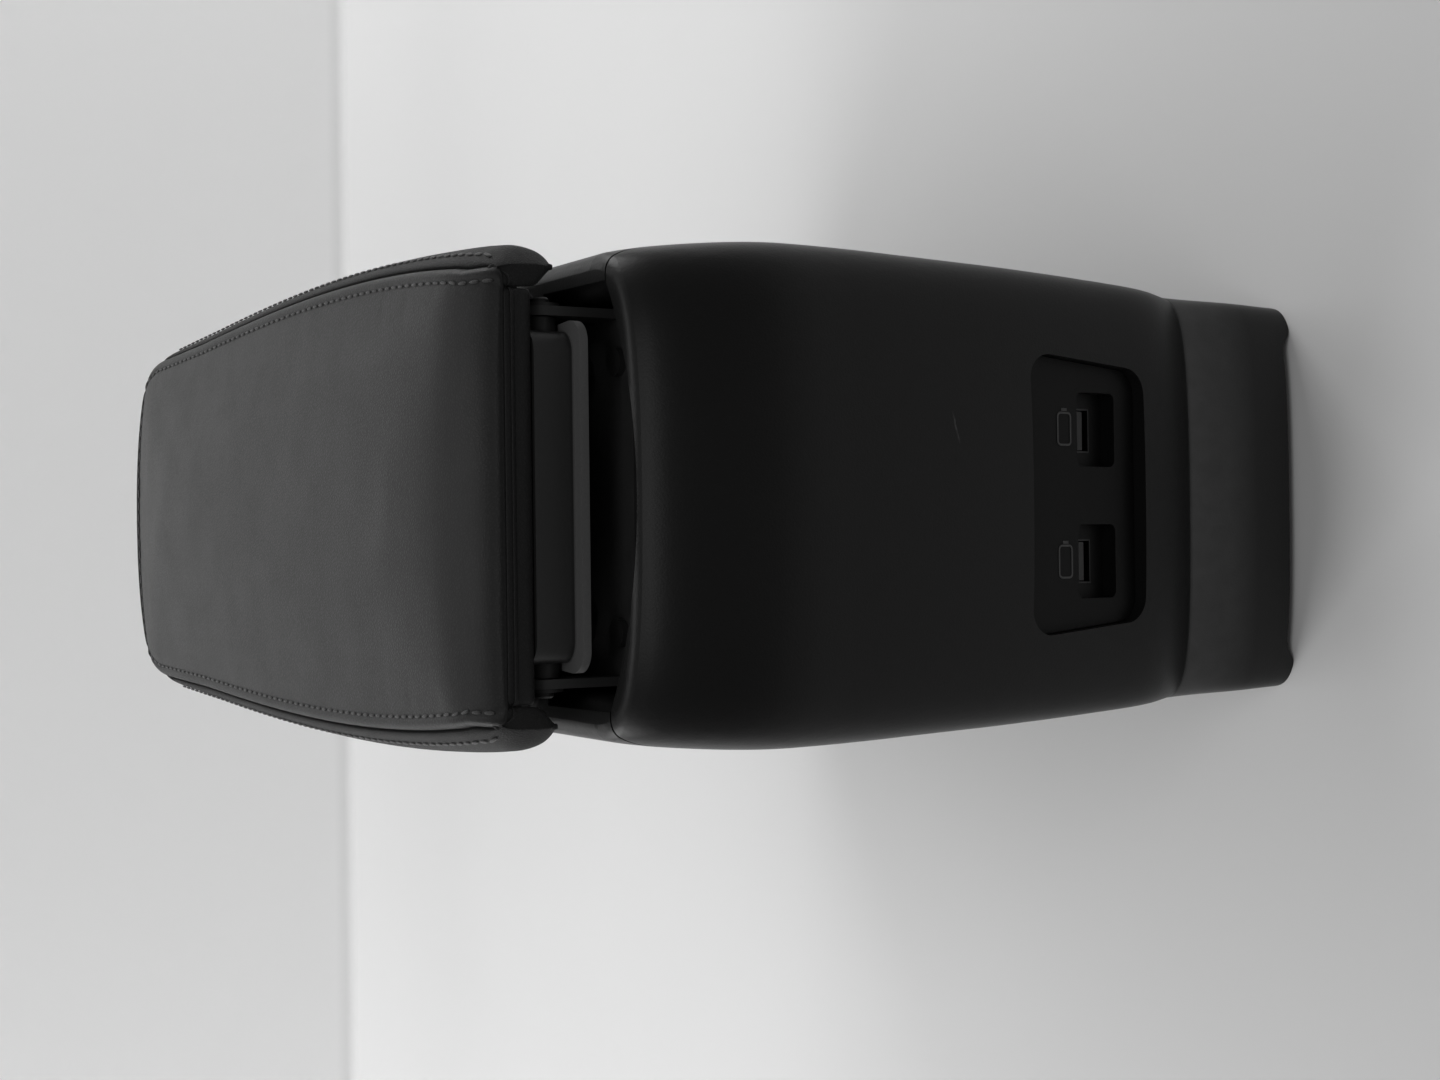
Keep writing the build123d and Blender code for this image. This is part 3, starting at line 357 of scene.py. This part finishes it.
def inflate(piece, sewn, look):
    group = piece.vertex_groups.new(name="sewn")
    group.add(sewn, 1.0, "REPLACE")
    cloth = piece.modifiers.new("leather", "CLOTH")
    cloth.settings.quality = clothLook["quality"]
    cloth.settings.mass = clothLook["mass"]
    cloth.settings.tension_stiffness = clothLook["tension"]
    cloth.settings.compression_stiffness = clothLook["tension"]
    cloth.settings.bending_stiffness = clothLook["bending"]
    cloth.settings.vertex_group_mass = "sewn"
    cloth.settings.use_pressure = True
    cloth.settings.uniform_pressure_force = look["pressure"]
    cloth.settings.effector_weights.gravity = 0
    cloth.point_cache.frame_start = 1
    cloth.point_cache.frame_end = clothLook["frames"]
    for step in range(1, clothLook["frames"] + 1):
        scene.frame_set(step)
    swollen = piece.evaluated_get(bpy.context.evaluated_depsgraph_get())
    targets = [v.co.copy() for v in swollen.data.vertices]
    piece.modifiers.remove(cloth)
    piece.vertex_groups.remove(group)
    scene.frame_set(1)
    most = 0.0
    for v, target in zip(piece.data.vertices, targets):
        move = target - v.co
        if move.length > look["cap"] * mm:
            move *= look["cap"] * mm / move.length
        most = max(most, move.length)
        v.co += move
    print(piece.name, "swelled by up to", round(most / mm, 2), "mm")


# plan of the lid, half of it from the middle of the rear to the middle of the front, in mm
lidPlan = {
    "rearY": -96.0, "frontY": 200.0,
    "rearHalf": 66.2, "bulgeRear": 75.0, "bulgeFront": 67.9, "frontHalf": 61.8,
    "cornerX": 59.8, "cornerLean": (1.9, 2.6), "rearCorner": 11.0, "frontCorner": 36.0,
    "rearPull": 0.5, "frontPull": 0.62, "spanPoints": 60, "sideX": 20.0, "middleY": 50.0,
}


def lidRoute():
    p = lidPlan
    rear, front, half, frontHalf = p["rearY"], p["frontY"], p["rearHalf"], p["frontHalf"]
    start, end = rear + p["rearCorner"], front - p["frontCorner"]
    third = (end - start) / 3
    cornerX = p["cornerX"]
    leaving = (cornerX + p["cornerLean"][0], rear + p["cornerLean"][1])
    pull = p["rearPull"] * p["rearCorner"]
    reach = p["frontPull"] * p["frontCorner"]
    lean = (frontHalf - p["bulgeFront"]) / third
    ahead = (frontHalf + lean * reach, end + reach)
    turned = (half - pull * (p["bulgeRear"] - half) / third, start - pull)
    spans = (
        ((0, rear), (cornerX / 3, rear), (cornerX * 2 / 3, rear), (cornerX, rear)),
        ((cornerX, rear), leaving, turned, (half, start)),
        ((half, start), (p["bulgeRear"], start + third), (p["bulgeFront"], end - third), (frontHalf, end)),
        ((frontHalf, end), ahead, (p["frontPull"] * frontHalf, front), (0, front)),
    )
    points = [Vector((0, rear))]
    for knots in spans:
        points += interpolate_bezier(*(Vector(k) for k in knots), p["spanPoints"])[1:]
    return points


class Route:  # walks a line of plan points by distance in mm
    def __init__(self, points):
        self.points = points
        self.marks = [0.0]
        for a, b in zip(points, points[1:]):
            self.marks.append(self.marks[-1] + (b - a).length)
        self.length = self.marks[-1]

    def at(self, distance):  # the point, and the way out of the lid there
        i = max(k for k in range(len(self.marks) - 1) if self.marks[k] <= max(distance, 0.0))
        a, b = self.points[i], self.points[i + 1]
        share = (distance - self.marks[i]) / (self.marks[i + 1] - self.marks[i])
        step = (b - a).normalized()
        return a.lerp(b, share), Vector((step.y, -step.x))

    def reach(self, test):  # first distance where the test holds
        return next(mark for mark, point in zip(self.marks, self.points) if test(point))


lidEdge = Route(lidRoute())


def halfAt(y):  # half-width of the lid's widest line
    sides = [p for p in lidEdge.points if p.x > lidPlan["sideX"]]
    return min(sides, key=lambda p: abs(p.y - y)).x


def smoothStep(low, high, value):
    t = min(max((value - low) / (high - low), 0.0), 1.0)
    return t * t * (3 - 2 * t)


def between(table, value):  # straight runs through a small table of pairs
    if value <= table[0][0]:
        return table[0][1]
    for (a, low), (b, high) in zip(table, table[1:]):
        if value <= b:
            return low + (high - low) * (value - a) / (b - a)
    return table[-1][1]


# top panel of the lid: rolls over the rear edge to a cross seam, bordered by a welt and a stitch row
topLook = {
    "seamInset": ((-96.0, 6.9), (-60.0, 6.6), (120.0, 6.4), (164.0, 5.2), (200.0, 4.4)), "corner": 4.4,
    "crown": 257.2, "arch": 1.0, "seamZ": 248.7,
    "rollY": -72.0, "rollRun": 24.6, "rollRise": 11.0, "rollRows": 20, "rollEnd": 76.0, "rollEase": 1.2,
    "slopeY": -46.0, "slopeDrop": 0.2, "rearFrom": -78.0, "rearHold": -84.5, "sideFrom": -80.0, "bowY": 90.0,
    "archHalf": 62.0, "archFrom": -40.0, "archFade": (120.0, 200.0), "rollSink": 0.3,
    "baseShare": 0.985, "baseShift": 0.7, "baseZ": 244.6,
    "border": ((0.0, 5.4), (0.3, 3.7), (0.8, 2.3), (1.6, 1.45), (2.5, 1.2), (3.3, 1.45), (4.0, 1.95), (4.8, 1.5),
               (6.6, 1.05), (9.5, 0.7), (13.5, 0.45), (19.0, 0.22)),
    "edgeSink": (1.5, 0.75, 0.3, 0.1),
    "stitchColumn": 6, "middleColumns": 17, "pitch": 4.5,
    "pressure": 4.0, "cap": 1.6,
}

sewnPlan = []  # the panel's sewn edge in plan, side and front parted where the edge faces half forward
for mark, point in zip(lidEdge.marks[:-1], lidEdge.points):
    out = lidEdge.at(mark + 0.001)[1]
    sewnPlan.append((point - out * between(topLook["seamInset"], point.y), out))
sewnPlan.append((Vector((0, lidPlan["frontY"] - topLook["seamInset"][-1][1])), Vector((0, 1))))
sideLine = [spot for spot, out in sewnPlan if out.y < out.x and spot.y > topLook["sideFrom"]]
frontLine = [spot for spot, out in sewnPlan if out.y >= out.x and spot.y > 0.0]
sideTable = [(spot.y, spot.x) for spot in sideLine]
frontTable = [(spot.x, spot.y) for spot in reversed(frontLine)]


# rows from the rear seam to the front one: y, z, angle, distance from the rear seam, drop at the front
def topProfile():
    k = topLook
    rows = []
    first, length = k["slopeY"], k["slopeY"] - k["rollY"]

    def rearRow(y, rise, fall):  # a long gentle slope, and from rollY on a tight roll on top of it
        back = (first - y) / length
        spot = Vector((y, k["crown"] - k["slopeDrop"] * back ** 2 - rise))
        slope = 2 * k["slopeDrop"] * back / length + fall
        along = rows[-1][3] + (spot - Vector(rows[-1][:2])).length if rows else 0.0
        rows.append((spot.x, spot.y, math.atan2(1.0, slope), along, 0.0))

    for i in range(k["rollRows"]):
        turn = math.radians(k["rollEnd"]) * (1 - (i / k["rollRows"]) ** k["rollEase"])
        y = k["rollY"] - k["rollRun"] * math.sin(turn)
        rearRow(y, k["rollRise"] * (1 - math.cos(turn)), k["rollRise"] / k["rollRun"] * math.tan(turn))
    count = 2 * round(length / k["pitch"])
    for i in range(count):
        rearRow(k["rollY"] + length * i / count, 0.0, 0.0)
    last = frontLine[-1].y - k["border"][-1][0]
    count = 2 * round((last - first) / k["pitch"])
    for i in range(count):
        rows.append((first + (last - first) * i / count, k["crown"], math.pi / 2, math.inf, 0.0))
    for inside, drop in reversed(k["border"]):
        rows.append((frontLine[-1].y - inside, k["crown"], math.pi / 2, math.inf, drop))
    return rows


topRows = topProfile()
borderCount = len(topLook["border"])
topColumns = 2 * borderCount + topLook["middleColumns"]


def placeTop(column, row):
    k = topLook
    y, z, angle, along, frontDrop = topRows[row]
    bow = 0.0
    if y < k["rearFrom"]:
        half = halfAt(max(y, k["rearHold"])) - between(k["seamInset"], y)
    else:
        middle, corner = frontLine[-1].y, frontLine[0]
        reach = y
        if y >= k["bowY"]:
            reach = k["bowY"] + (corner.y - k["bowY"]) * (y - k["bowY"]) / (middle - k["bowY"])
        half, bow = between(sideTable, reach), y - reach
    if along < k["corner"]:  # the welt turns in to the cross seam
        half -= k["corner"] - math.sqrt(k["corner"] ** 2 - (k["corner"] - along) ** 2)
    side = 1 if column * 2 >= topColumns - 1 else -1
    near = min(column, topColumns - 1 - column)
    if near < borderCount:
        inside, drop = k["border"][near]
    else:
        widest = k["border"][-1][0]
        inside = widest + (half - widest) * (near - borderCount + 1) / ((topColumns + 1) / 2 - borderCount)
        drop = 0.0
    x = side * (half - inside)
    if bow:  # rows bend into the shape of the front line
        full = between(frontTable, abs(x) / half * corner.x)
        y = reach + bow * (full - corner.y) / (middle - corner.y)
    level = smoothStep(topRows[0][2], math.pi / 2, angle)
    sink = max(drop * (k["rollSink"] + (1 - k["rollSink"]) * level), frontDrop)
    if row < len(k["edgeSink"]):
        sink = max(sink, k["edgeSink"][row])
    arched = smoothStep(topRows[0][0], k["archFrom"], y) * (1 - smoothStep(*k["archFade"], y))
    z += k["arch"] * (1 - (x / k["archHalf"]) ** 2) * arched
    return (Vector((x, y, z)) - Vector((0, -math.cos(angle), math.sin(angle))) * sink) * mm


def makeTop():
    k = topLook
    bm, table = sheetGrid(topColumns, len(topRows), placeTop)
    rim = [e for e in bm.edges if e.is_boundary]
    grown = bmesh.ops.extrude_edge_only(bm, edges=rim)
    lower = [g for g in grown["geom"] if isinstance(g, bmesh.types.BMVert)]
    for v in lower:
        v.co = Vector((v.co.x * k["baseShare"], v.co.y * k["baseShare"] + k["baseShift"] * mm, k["baseZ"] * mm))
    bmesh.ops.triangle_fill(bm, edges=[e for e in bm.edges if e.is_boundary], use_beauty=True)
    bmesh.ops.recalc_face_normals(bm, faces=bm.faces)
    bm.verts.index_update()
    sewn = {v.index for v in lower}
    sewnRows = (0, len(topRows) - 1, len(topRows) - 1 - k["stitchColumn"])
    places = {}
    for (column, row), v in table.items():
        places[column, row] = v.index
        near = min(column, topColumns - 1 - column)
        if near in (0, k["stitchColumn"]) or row in sewnRows:
            sewn.add(v.index)
    piece = addPiece("lidTopPanel", bm, topLeather, "lid")
    inflate(piece, sorted(sewn), k)
    addSubdivision(piece, 1)
    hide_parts("lid_pad")
    return piece, places


lidTop, topPlaces = makeTop()
print("top panel made")

# covers around the lid: one section walked along the widest line, its upper edge led by the panel's sewn edge
coverLook = {
    "flange": ((2.6, -4.0), (0.9, -2.2)),
    "section": ((1.0, 1.00), (0.93, 1.02), (0.74, 1.00), (0.48, 0.89), (0.24, 0.74), (0.07, 0.57), (0.0, 0.42)),
    "lower": ((0.35, 0.27), (1.2, 0.13), (2.7, 0.035), (4.6, 0.0), (7.4, 0.03)),
    "lift": 0.4, "lowZ": 228.2, "hornZ": 233.4, "innerHornZ": 239.0, "stripZ": 240.1,
    "hornRun": (-88.0, -46.0), "innerHornRun": (54.2, 59.4), "tight": 0.35, "tightRun": (-95.0, -78.0),
    "rearHalf": 53.4, "frontY": 164.0, "thick": 2.0, "step": 3.0, "gap": 0.25, "seam": 0.12, "crisp": 0.12,
    "leastInset": 0.7, "outermost": -1.0, "innermost": (9.0, 251.0), "stitchColumn": 5,
    "pressure": 3.0, "cap": 0.8,
}
middleColumn, lastColumn, lastRow = topColumns // 2, topColumns - 1, len(topRows) - 1
sewnEdge = [placeTop(column, 0) / mm for column in range(middleColumn - 1, topColumns)]
sewnEdge += [placeTop(lastColumn, row) / mm for row in range(1, lastRow)]
sewnEdge += [placeTop(column, lastRow) / mm for column in range(lastColumn, middleColumn - 2, -1)]


def sewnAt(point, out):  # inset and height of the panel's edge, seen straight in from the lid's outline
    found = coverLook["innermost"]
    for a, b in zip(sewnEdge, sewnEdge[1:]):
        before = (a.x - point.x) * out.y - (a.y - point.y) * out.x
        after = (b.x - point.x) * out.y - (b.y - point.y) * out.x
        if before * after <= 0 and before != after:
            spot = a.lerp(b, before / (before - after))
            inset = (point - spot.xy).dot(out)
            if coverLook["outermost"] < inset < found[0]:
                found = (inset, spot.z)
    return found


def coverSection(column, distance, low):
    k = coverLook
    point, out = lidEdge.at(distance)
    inset, top = sewnAt(point, out)
    inset, top = max(inset - k["gap"], k["leastInset"]), top + k["lift"]
    if low is None:
        low = k["lowZ"] + (k["hornZ"] - k["lowZ"]) * (1 - smoothStep(*k["hornRun"], point.y))
        if point.y < 0:
            low += (k["innerHornZ"] - k["hornZ"]) * (1 - smoothStep(*k["innerHornRun"], point.x))
    upper = len(k["flange"])
    if column < upper:
        deeper, lower = k["flange"][column]
        place, z = point - out * (inset + deeper), top + lower
    elif column < upper + len(k["section"]):
        share, rise = k["section"][column - upper]
        place, z = point - out * inset * share, low + (top - low) * rise
    else:
        deeper, rise = k["lower"][column - upper - len(k["section"])]
        # the rear face keeps a tight lower edge
        tight = k["tight"] + (1 - k["tight"]) * smoothStep(*k["tightRun"], point.y)
        place, z = point - out * deeper * tight, low + (top - low) * rise
    return Vector((place.x, place.y, z))


def makeCover(name, first, last, mirrored, replaced, leather, low=None):
    k = coverLook
    columns = len(k["flange"]) + len(k["section"]) + len(k["lower"])
    stops = [first] + [c for c in corners if first < c < last] + [last]
    distances = []
    for a, b in zip(stops, stops[1:]):  # a close pair of rows keeps each corner crisp
        a += k["crisp"] if a in corners else 0.0
        b -= k["crisp"] if b in corners else 0.0
        count = max(round((b - a) / k["step"]), 1)
        distances += [a + (b - a) * i / count for i in range(count + 1)]
    rows = len(distances)

    def placeCover(column, row):
        distance = distances[row]
        beyond = distance < 0 or distance > lidEdge.length
        spot = coverSection(column, min(abs(distance), 2 * lidEdge.length - distance), low)
        flip = -1 if beyond != mirrored else 1
        return Vector((flip * spot.x, spot.y, spot.z)) * mm

    bm, table = sheetGrid(columns, rows, placeCover)
    bmesh.ops.recalc_face_normals(bm, faces=bm.faces)
    bm.normal_update()
    middle = table[columns - len(k["lower"]) - 2, rows // 2]
    onSide = abs(middle.co.x) > lidPlan["sideX"] * mm
    outward = Vector((middle.co.x, middle.co.y - (lidPlan["middleY"] * mm if onSide else 0.0), 0))
    if middle.normal.dot(outward) < 0:
        bmesh.ops.reverse_faces(bm, faces=bm.faces)
    bm.verts.index_update()
    places = {key: v.index for key, v in table.items()}
    piece = addPiece(name, bm, leather, "lid")
    held = (0, 1, 2, columns - 1, columns - 2)
    sewn = [i for (column, row), i in places.items() if column in held or row in (0, rows - 1)]
    inflate(piece, sewn, k)
    wall = piece.modifiers.new("wall", "SOLIDIFY")
    wall.thickness = k["thick"] * mm
    wall.offset = -1
    addSubdivision(piece, 2)
    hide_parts(replaced)
    return piece, places, rows


rearEnd = lidEdge.reach(lambda p: p.x >= coverLook["rearHalf"])
corners = (lidEdge.reach(lambda p: p.x >= lidPlan["cornerX"] - 0.001),)
frontEnd = lidEdge.reach(lambda p: p.y >= coverLook["frontY"])
seam = coverLook["seam"]
leftCover = makeCover("leftSideCover", rearEnd, frontEnd, True, "left_side_cover", sideLeather)
rightCover = makeCover("rightSideCover", rearEnd, frontEnd, False, "right_side_cover", sideLeather)
frontLast = 2 * lidEdge.length - frontEnd
makeCover("frontCover", frontEnd + seam, frontLast - seam, False, "front_cover", sideLeather)
makeCover("rearStrip", seam - rearEnd, rearEnd - seam, False, "rear_cover", topLeather, coverLook["stripZ"])
print("covers made")

# stitches: flattened capsules laid on the leather at an even pitch
stitchLook = {
    "pitch": 4.5, "length": 3.5, "wide": 1.0, "thick": 0.7, "sink": 0.1, "skip": 5,
    "topShade": 26, "sideShade": 62,
}


def layStitches(name, piece, line, thread):
    k = stitchLook
    bm = bmesh.new()
    size = Matrix.Diagonal((k["wide"] / 2, k["length"] / 2, k["thick"] / 2, 1.0))
    size = size @ Matrix.Rotation(math.pi / 2, 4, "X")
    left = k["pitch"] * mm / 2
    for a, b in zip(line, line[1:]):
        first, second = piece.data.vertices[a], piece.data.vertices[b]
        along = (second.co - first.co).normalized()
        run = (second.co - first.co).length
        while left < run:
            across = first.normal.lerp(second.normal, left / run).cross(along).normalized()
            up = along.cross(across).normalized()
            centre = first.co + along * left + up * (k["thick"] / 2 - k["sink"]) * mm
            turn = Matrix((across, along, up)).transposed().to_4x4()
            place = Matrix.Translation(centre) @ turn @ size
            bmesh.ops.create_uvsphere(bm, u_segments=8, v_segments=6, radius=mm, matrix=place)
            left += k["pitch"] * mm
        left -= run
    bmesh.ops.recalc_face_normals(bm, faces=bm.faces)
    addPiece(name, bm, thread, "lid")


topThread = threadFinish("topThread", stitchLook["topShade"])
sideThread = threadFinish("sideThread", stitchLook["sideShade"])
sewnColumn = topLook["stitchColumn"]
turnRow = lastRow - sewnColumn
topLine = [topPlaces[sewnColumn, row] for row in range(stitchLook["skip"], turnRow)]
topLine += [topPlaces[column, turnRow] for column in range(sewnColumn, lastColumn - sewnColumn)]
topLine += [topPlaces[lastColumn - sewnColumn, row] for row in range(turnRow, stitchLook["skip"] - 1, -1)]
layStitches("topStitches", lidTop, topLine, topThread)
for name, (piece, places, rows) in (("leftStitches", leftCover), ("rightStitches", rightCover)):
    sideStitches = [places[coverLook["stitchColumn"], row] for row in range(stitchLook["skip"], rows - 1)]
    layStitches(name, piece, sideStitches, sideThread)
print("stitches laid")

# charging marks: a plain battery outline above each socket
markLook = {
    "x": 18.7, "up": 6.0, "wide": 9.6, "tall": 5.6, "round": 1.4, "line": 0.6, "nub": (0.9, 2.2), "nubGap": 0.6,
    "lift": 0.1, "thick": 0.04, "shade": 62, "face": (0.0, -127.05, 83.3), "tilt": 4.0,
}


def roundedLoop(bm, centre, wide, tall, radius):
    ring = []
    for quarter, (across, up) in enumerate(((1, 1), (-1, 1), (-1, -1), (1, -1))):
        for i in range(5):
            a = math.pi / 2 * (quarter + i / 4)
            x = centre[0] + across * (wide / 2 - radius) + radius * math.cos(a)
            y = centre[1] + up * (tall / 2 - radius) + radius * math.sin(a)
            ring.append(bm.verts.new(Vector((x, y, markLook["lift"])) * mm))
    return [bm.edges.new((a, b)) for a, b in zip(ring, ring[1:] + ring[:1])]


def makeMarks():
    k = markLook
    bm = bmesh.new()
    for side in (-1, 1):
        centre = (side * k["x"], k["up"])
        inset = 2 * k["line"]
        outer = roundedLoop(bm, centre, k["wide"], k["tall"], k["round"])
        inner = roundedLoop(bm, centre, k["wide"] - inset, k["tall"] - inset, k["round"] - k["line"])
        bmesh.ops.bridge_loops(bm, edges=outer + inner)
        nub = bmesh.ops.create_grid(bm, x_segments=1, y_segments=1, size=0.5)
        bmesh.ops.scale(bm, vec=Vector((*k["nub"], 1)) * mm, verts=nub["verts"])
        aside = Vector((side * k["x"] + k["wide"] / 2 + k["nubGap"], k["up"], k["lift"]))
        bmesh.ops.translate(bm, vec=aside * mm, verts=nub["verts"])
    bmesh.ops.solidify(bm, geom=list(bm.faces), thickness=k["thick"] * mm)
    tilt = math.radians(k["tilt"])
    up = Vector((0, -math.sin(tilt), math.cos(tilt)))
    out = Vector((0, -math.cos(tilt), -math.sin(tilt)))
    turn = Matrix((Vector((1, 0, 0)), up, out)).transposed().to_4x4()
    bmesh.ops.transform(bm, matrix=Matrix.Translation(Vector(k["face"]) * mm) @ turn, verts=bm.verts)
    bmesh.ops.recalc_face_normals(bm, faces=bm.faces)
    addPiece("chargingMarks", bm, printFinish("markPrint", k["shade"]), "console")


makeMarks()
print("charging marks made")

# floor and back wall, one pale sheet with a tight bend
stageLook = {
    "wallY": 0.616, "wallTop": 0.235, "bend": 0.006, "reach": 3.0,
    "shade": 222, "wallShade": 240, "fade": 12.0,
}


def makeStage():
    k = stageLook
    bm = bmesh.new()
    profile = ((-k["reach"], 0.0), (k["wallY"], 0.0), (k["wallY"], k["wallTop"]))
    points = [bm.verts.new((-k["reach"], y, z)) for y, z in profile]
    edges = [bm.edges.new(pair) for pair in zip(points, points[1:])]
    grown = bmesh.ops.extrude_edge_only(bm, edges=edges)
    far = [g for g in grown["geom"] if isinstance(g, bmesh.types.BMVert)]
    bmesh.ops.translate(bm, vec=(2 * k["reach"], 0, 0), verts=far)
    fold = [e for e in bm.edges if len(e.link_faces) == 2]
    bmesh.ops.bevel(
        bm, geom=fold, offset=k["bend"], offset_type="OFFSET", affect="EDGES",
        segments=6, profile=0.5, material=-1,
    )
    bmesh.ops.recalc_face_normals(bm, faces=bm.faces)
    mesh = bpy.data.meshes.new("floor")
    bm.to_mesh(mesh)
    bm.free()
    mesh.shade_smooth()
    paint = Paint("palePaper")
    cloud = paint.noise(240.0, 2.0)
    flat = paint.blendColour(cloud, tone(k["shade"] - 4), tone(k["shade"] + 3))
    colour = paint.blendColour((paint.axis("Z") / k["fade"]).least(1.0), flat, tone(k["wallShade"]))
    mesh.materials.append(paint.set(Base_Color=colour, Roughness=0.75 + cloud * 0.1))
    floor = bpy.data.objects.new("floor", mesh)
    scene.collection.objects.link(floor)


makeStage()

# studio light: a panel at each side, one overhead, one beyond the wall, one behind the camera, a wash on the wall
ambient = 0.15
lightLook = (
    {"name": "sideLeft", "at": (-0.84, 0.38, 0.50), "aim": (0.0, -0.05, 0.08), "size": (0.5, 0.5), "power": 4.7},
    {"name": "sideRight", "at": (0.84, 0.38, 0.50), "aim": (0.0, -0.05, 0.08), "size": (0.5, 0.5), "power": 4.0},
    {"name": "overhead", "at": (0.0, 0.30, 1.20), "aim": (0.0, 0.0, 0.1), "size": (0.8, 0.5), "power": 2.4},
    {"name": "farPanel", "at": (0.0, 1.05, 0.60), "aim": (0.0, 0.0, 0.3), "size": (1.8, 0.5), "power": 3.6},
    {"name": "backSoft", "at": (0.0, -0.75, 1.15), "aim": (0.0, -0.1, 0.1), "size": (0.9, 0.4), "power": 2.6},
    {"name": "wallWash", "at": (0.0, 0.30, 1.05), "aim": (0.0, 0.62, 0.15), "size": (1.4, 0.12), "power": 1.2},
)
for k in lightLook:
    data = bpy.data.lights.new(k["name"], "AREA")
    data.shape = "RECTANGLE"
    data.size, data.size_y = k["size"]
    data.energy = k["power"]
    lamp = bpy.data.objects.new(k["name"], data)
    scene.collection.objects.link(lamp)
    lamp.location = k["at"]
    lamp.rotation_euler = (Vector(k["aim"]) - Vector(k["at"])).to_track_quat("-Z", "Y").to_euler()
world = bpy.data.worlds.new("studio")
scene.world = world
world.use_nodes = True
background = world.node_tree.nodes["Background"]
background.inputs["Color"].default_value = (1.0, 1.0, 1.0, 1.0)
background.inputs["Strength"].default_value = ambient
scene.view_settings.view_transform = "Standard"

# camera: behind and above the armrest, turned on its side as the picture is
cameraLook = {"eye": (-15.6, -587.8, 491.6), "down": 32.0, "yaw": 0.47, "roll": 0.0082, "lens": 53.6}


def makeCamera():
    k = cameraLook
    data = bpy.data.cameras.new("camera")
    data.sensor_width = 36.0
    data.lens = k["lens"]
    data.clip_start, data.clip_end = 0.01, 20.0
    down, yaw = math.radians(k["down"]), math.radians(k["yaw"])
    ahead = Vector((math.sin(yaw) * math.cos(down), math.cos(yaw) * math.cos(down), -math.sin(down)))
    across = ahead.cross(Vector((0, 0, 1))).normalized()
    below = ahead.cross(across).normalized()
    right = below * math.cos(k["roll"]) - across * math.sin(k["roll"])
    up = across * math.cos(k["roll"]) + below * math.sin(k["roll"])
    camera = bpy.data.objects.new("camera", data)
    scene.collection.objects.link(camera)
    turn = Matrix((right, up, -ahead)).transposed().to_4x4()
    camera.matrix_world = Matrix.Translation(Vector(k["eye"]) * mm) @ turn
    scene.camera = camera


makeCamera()
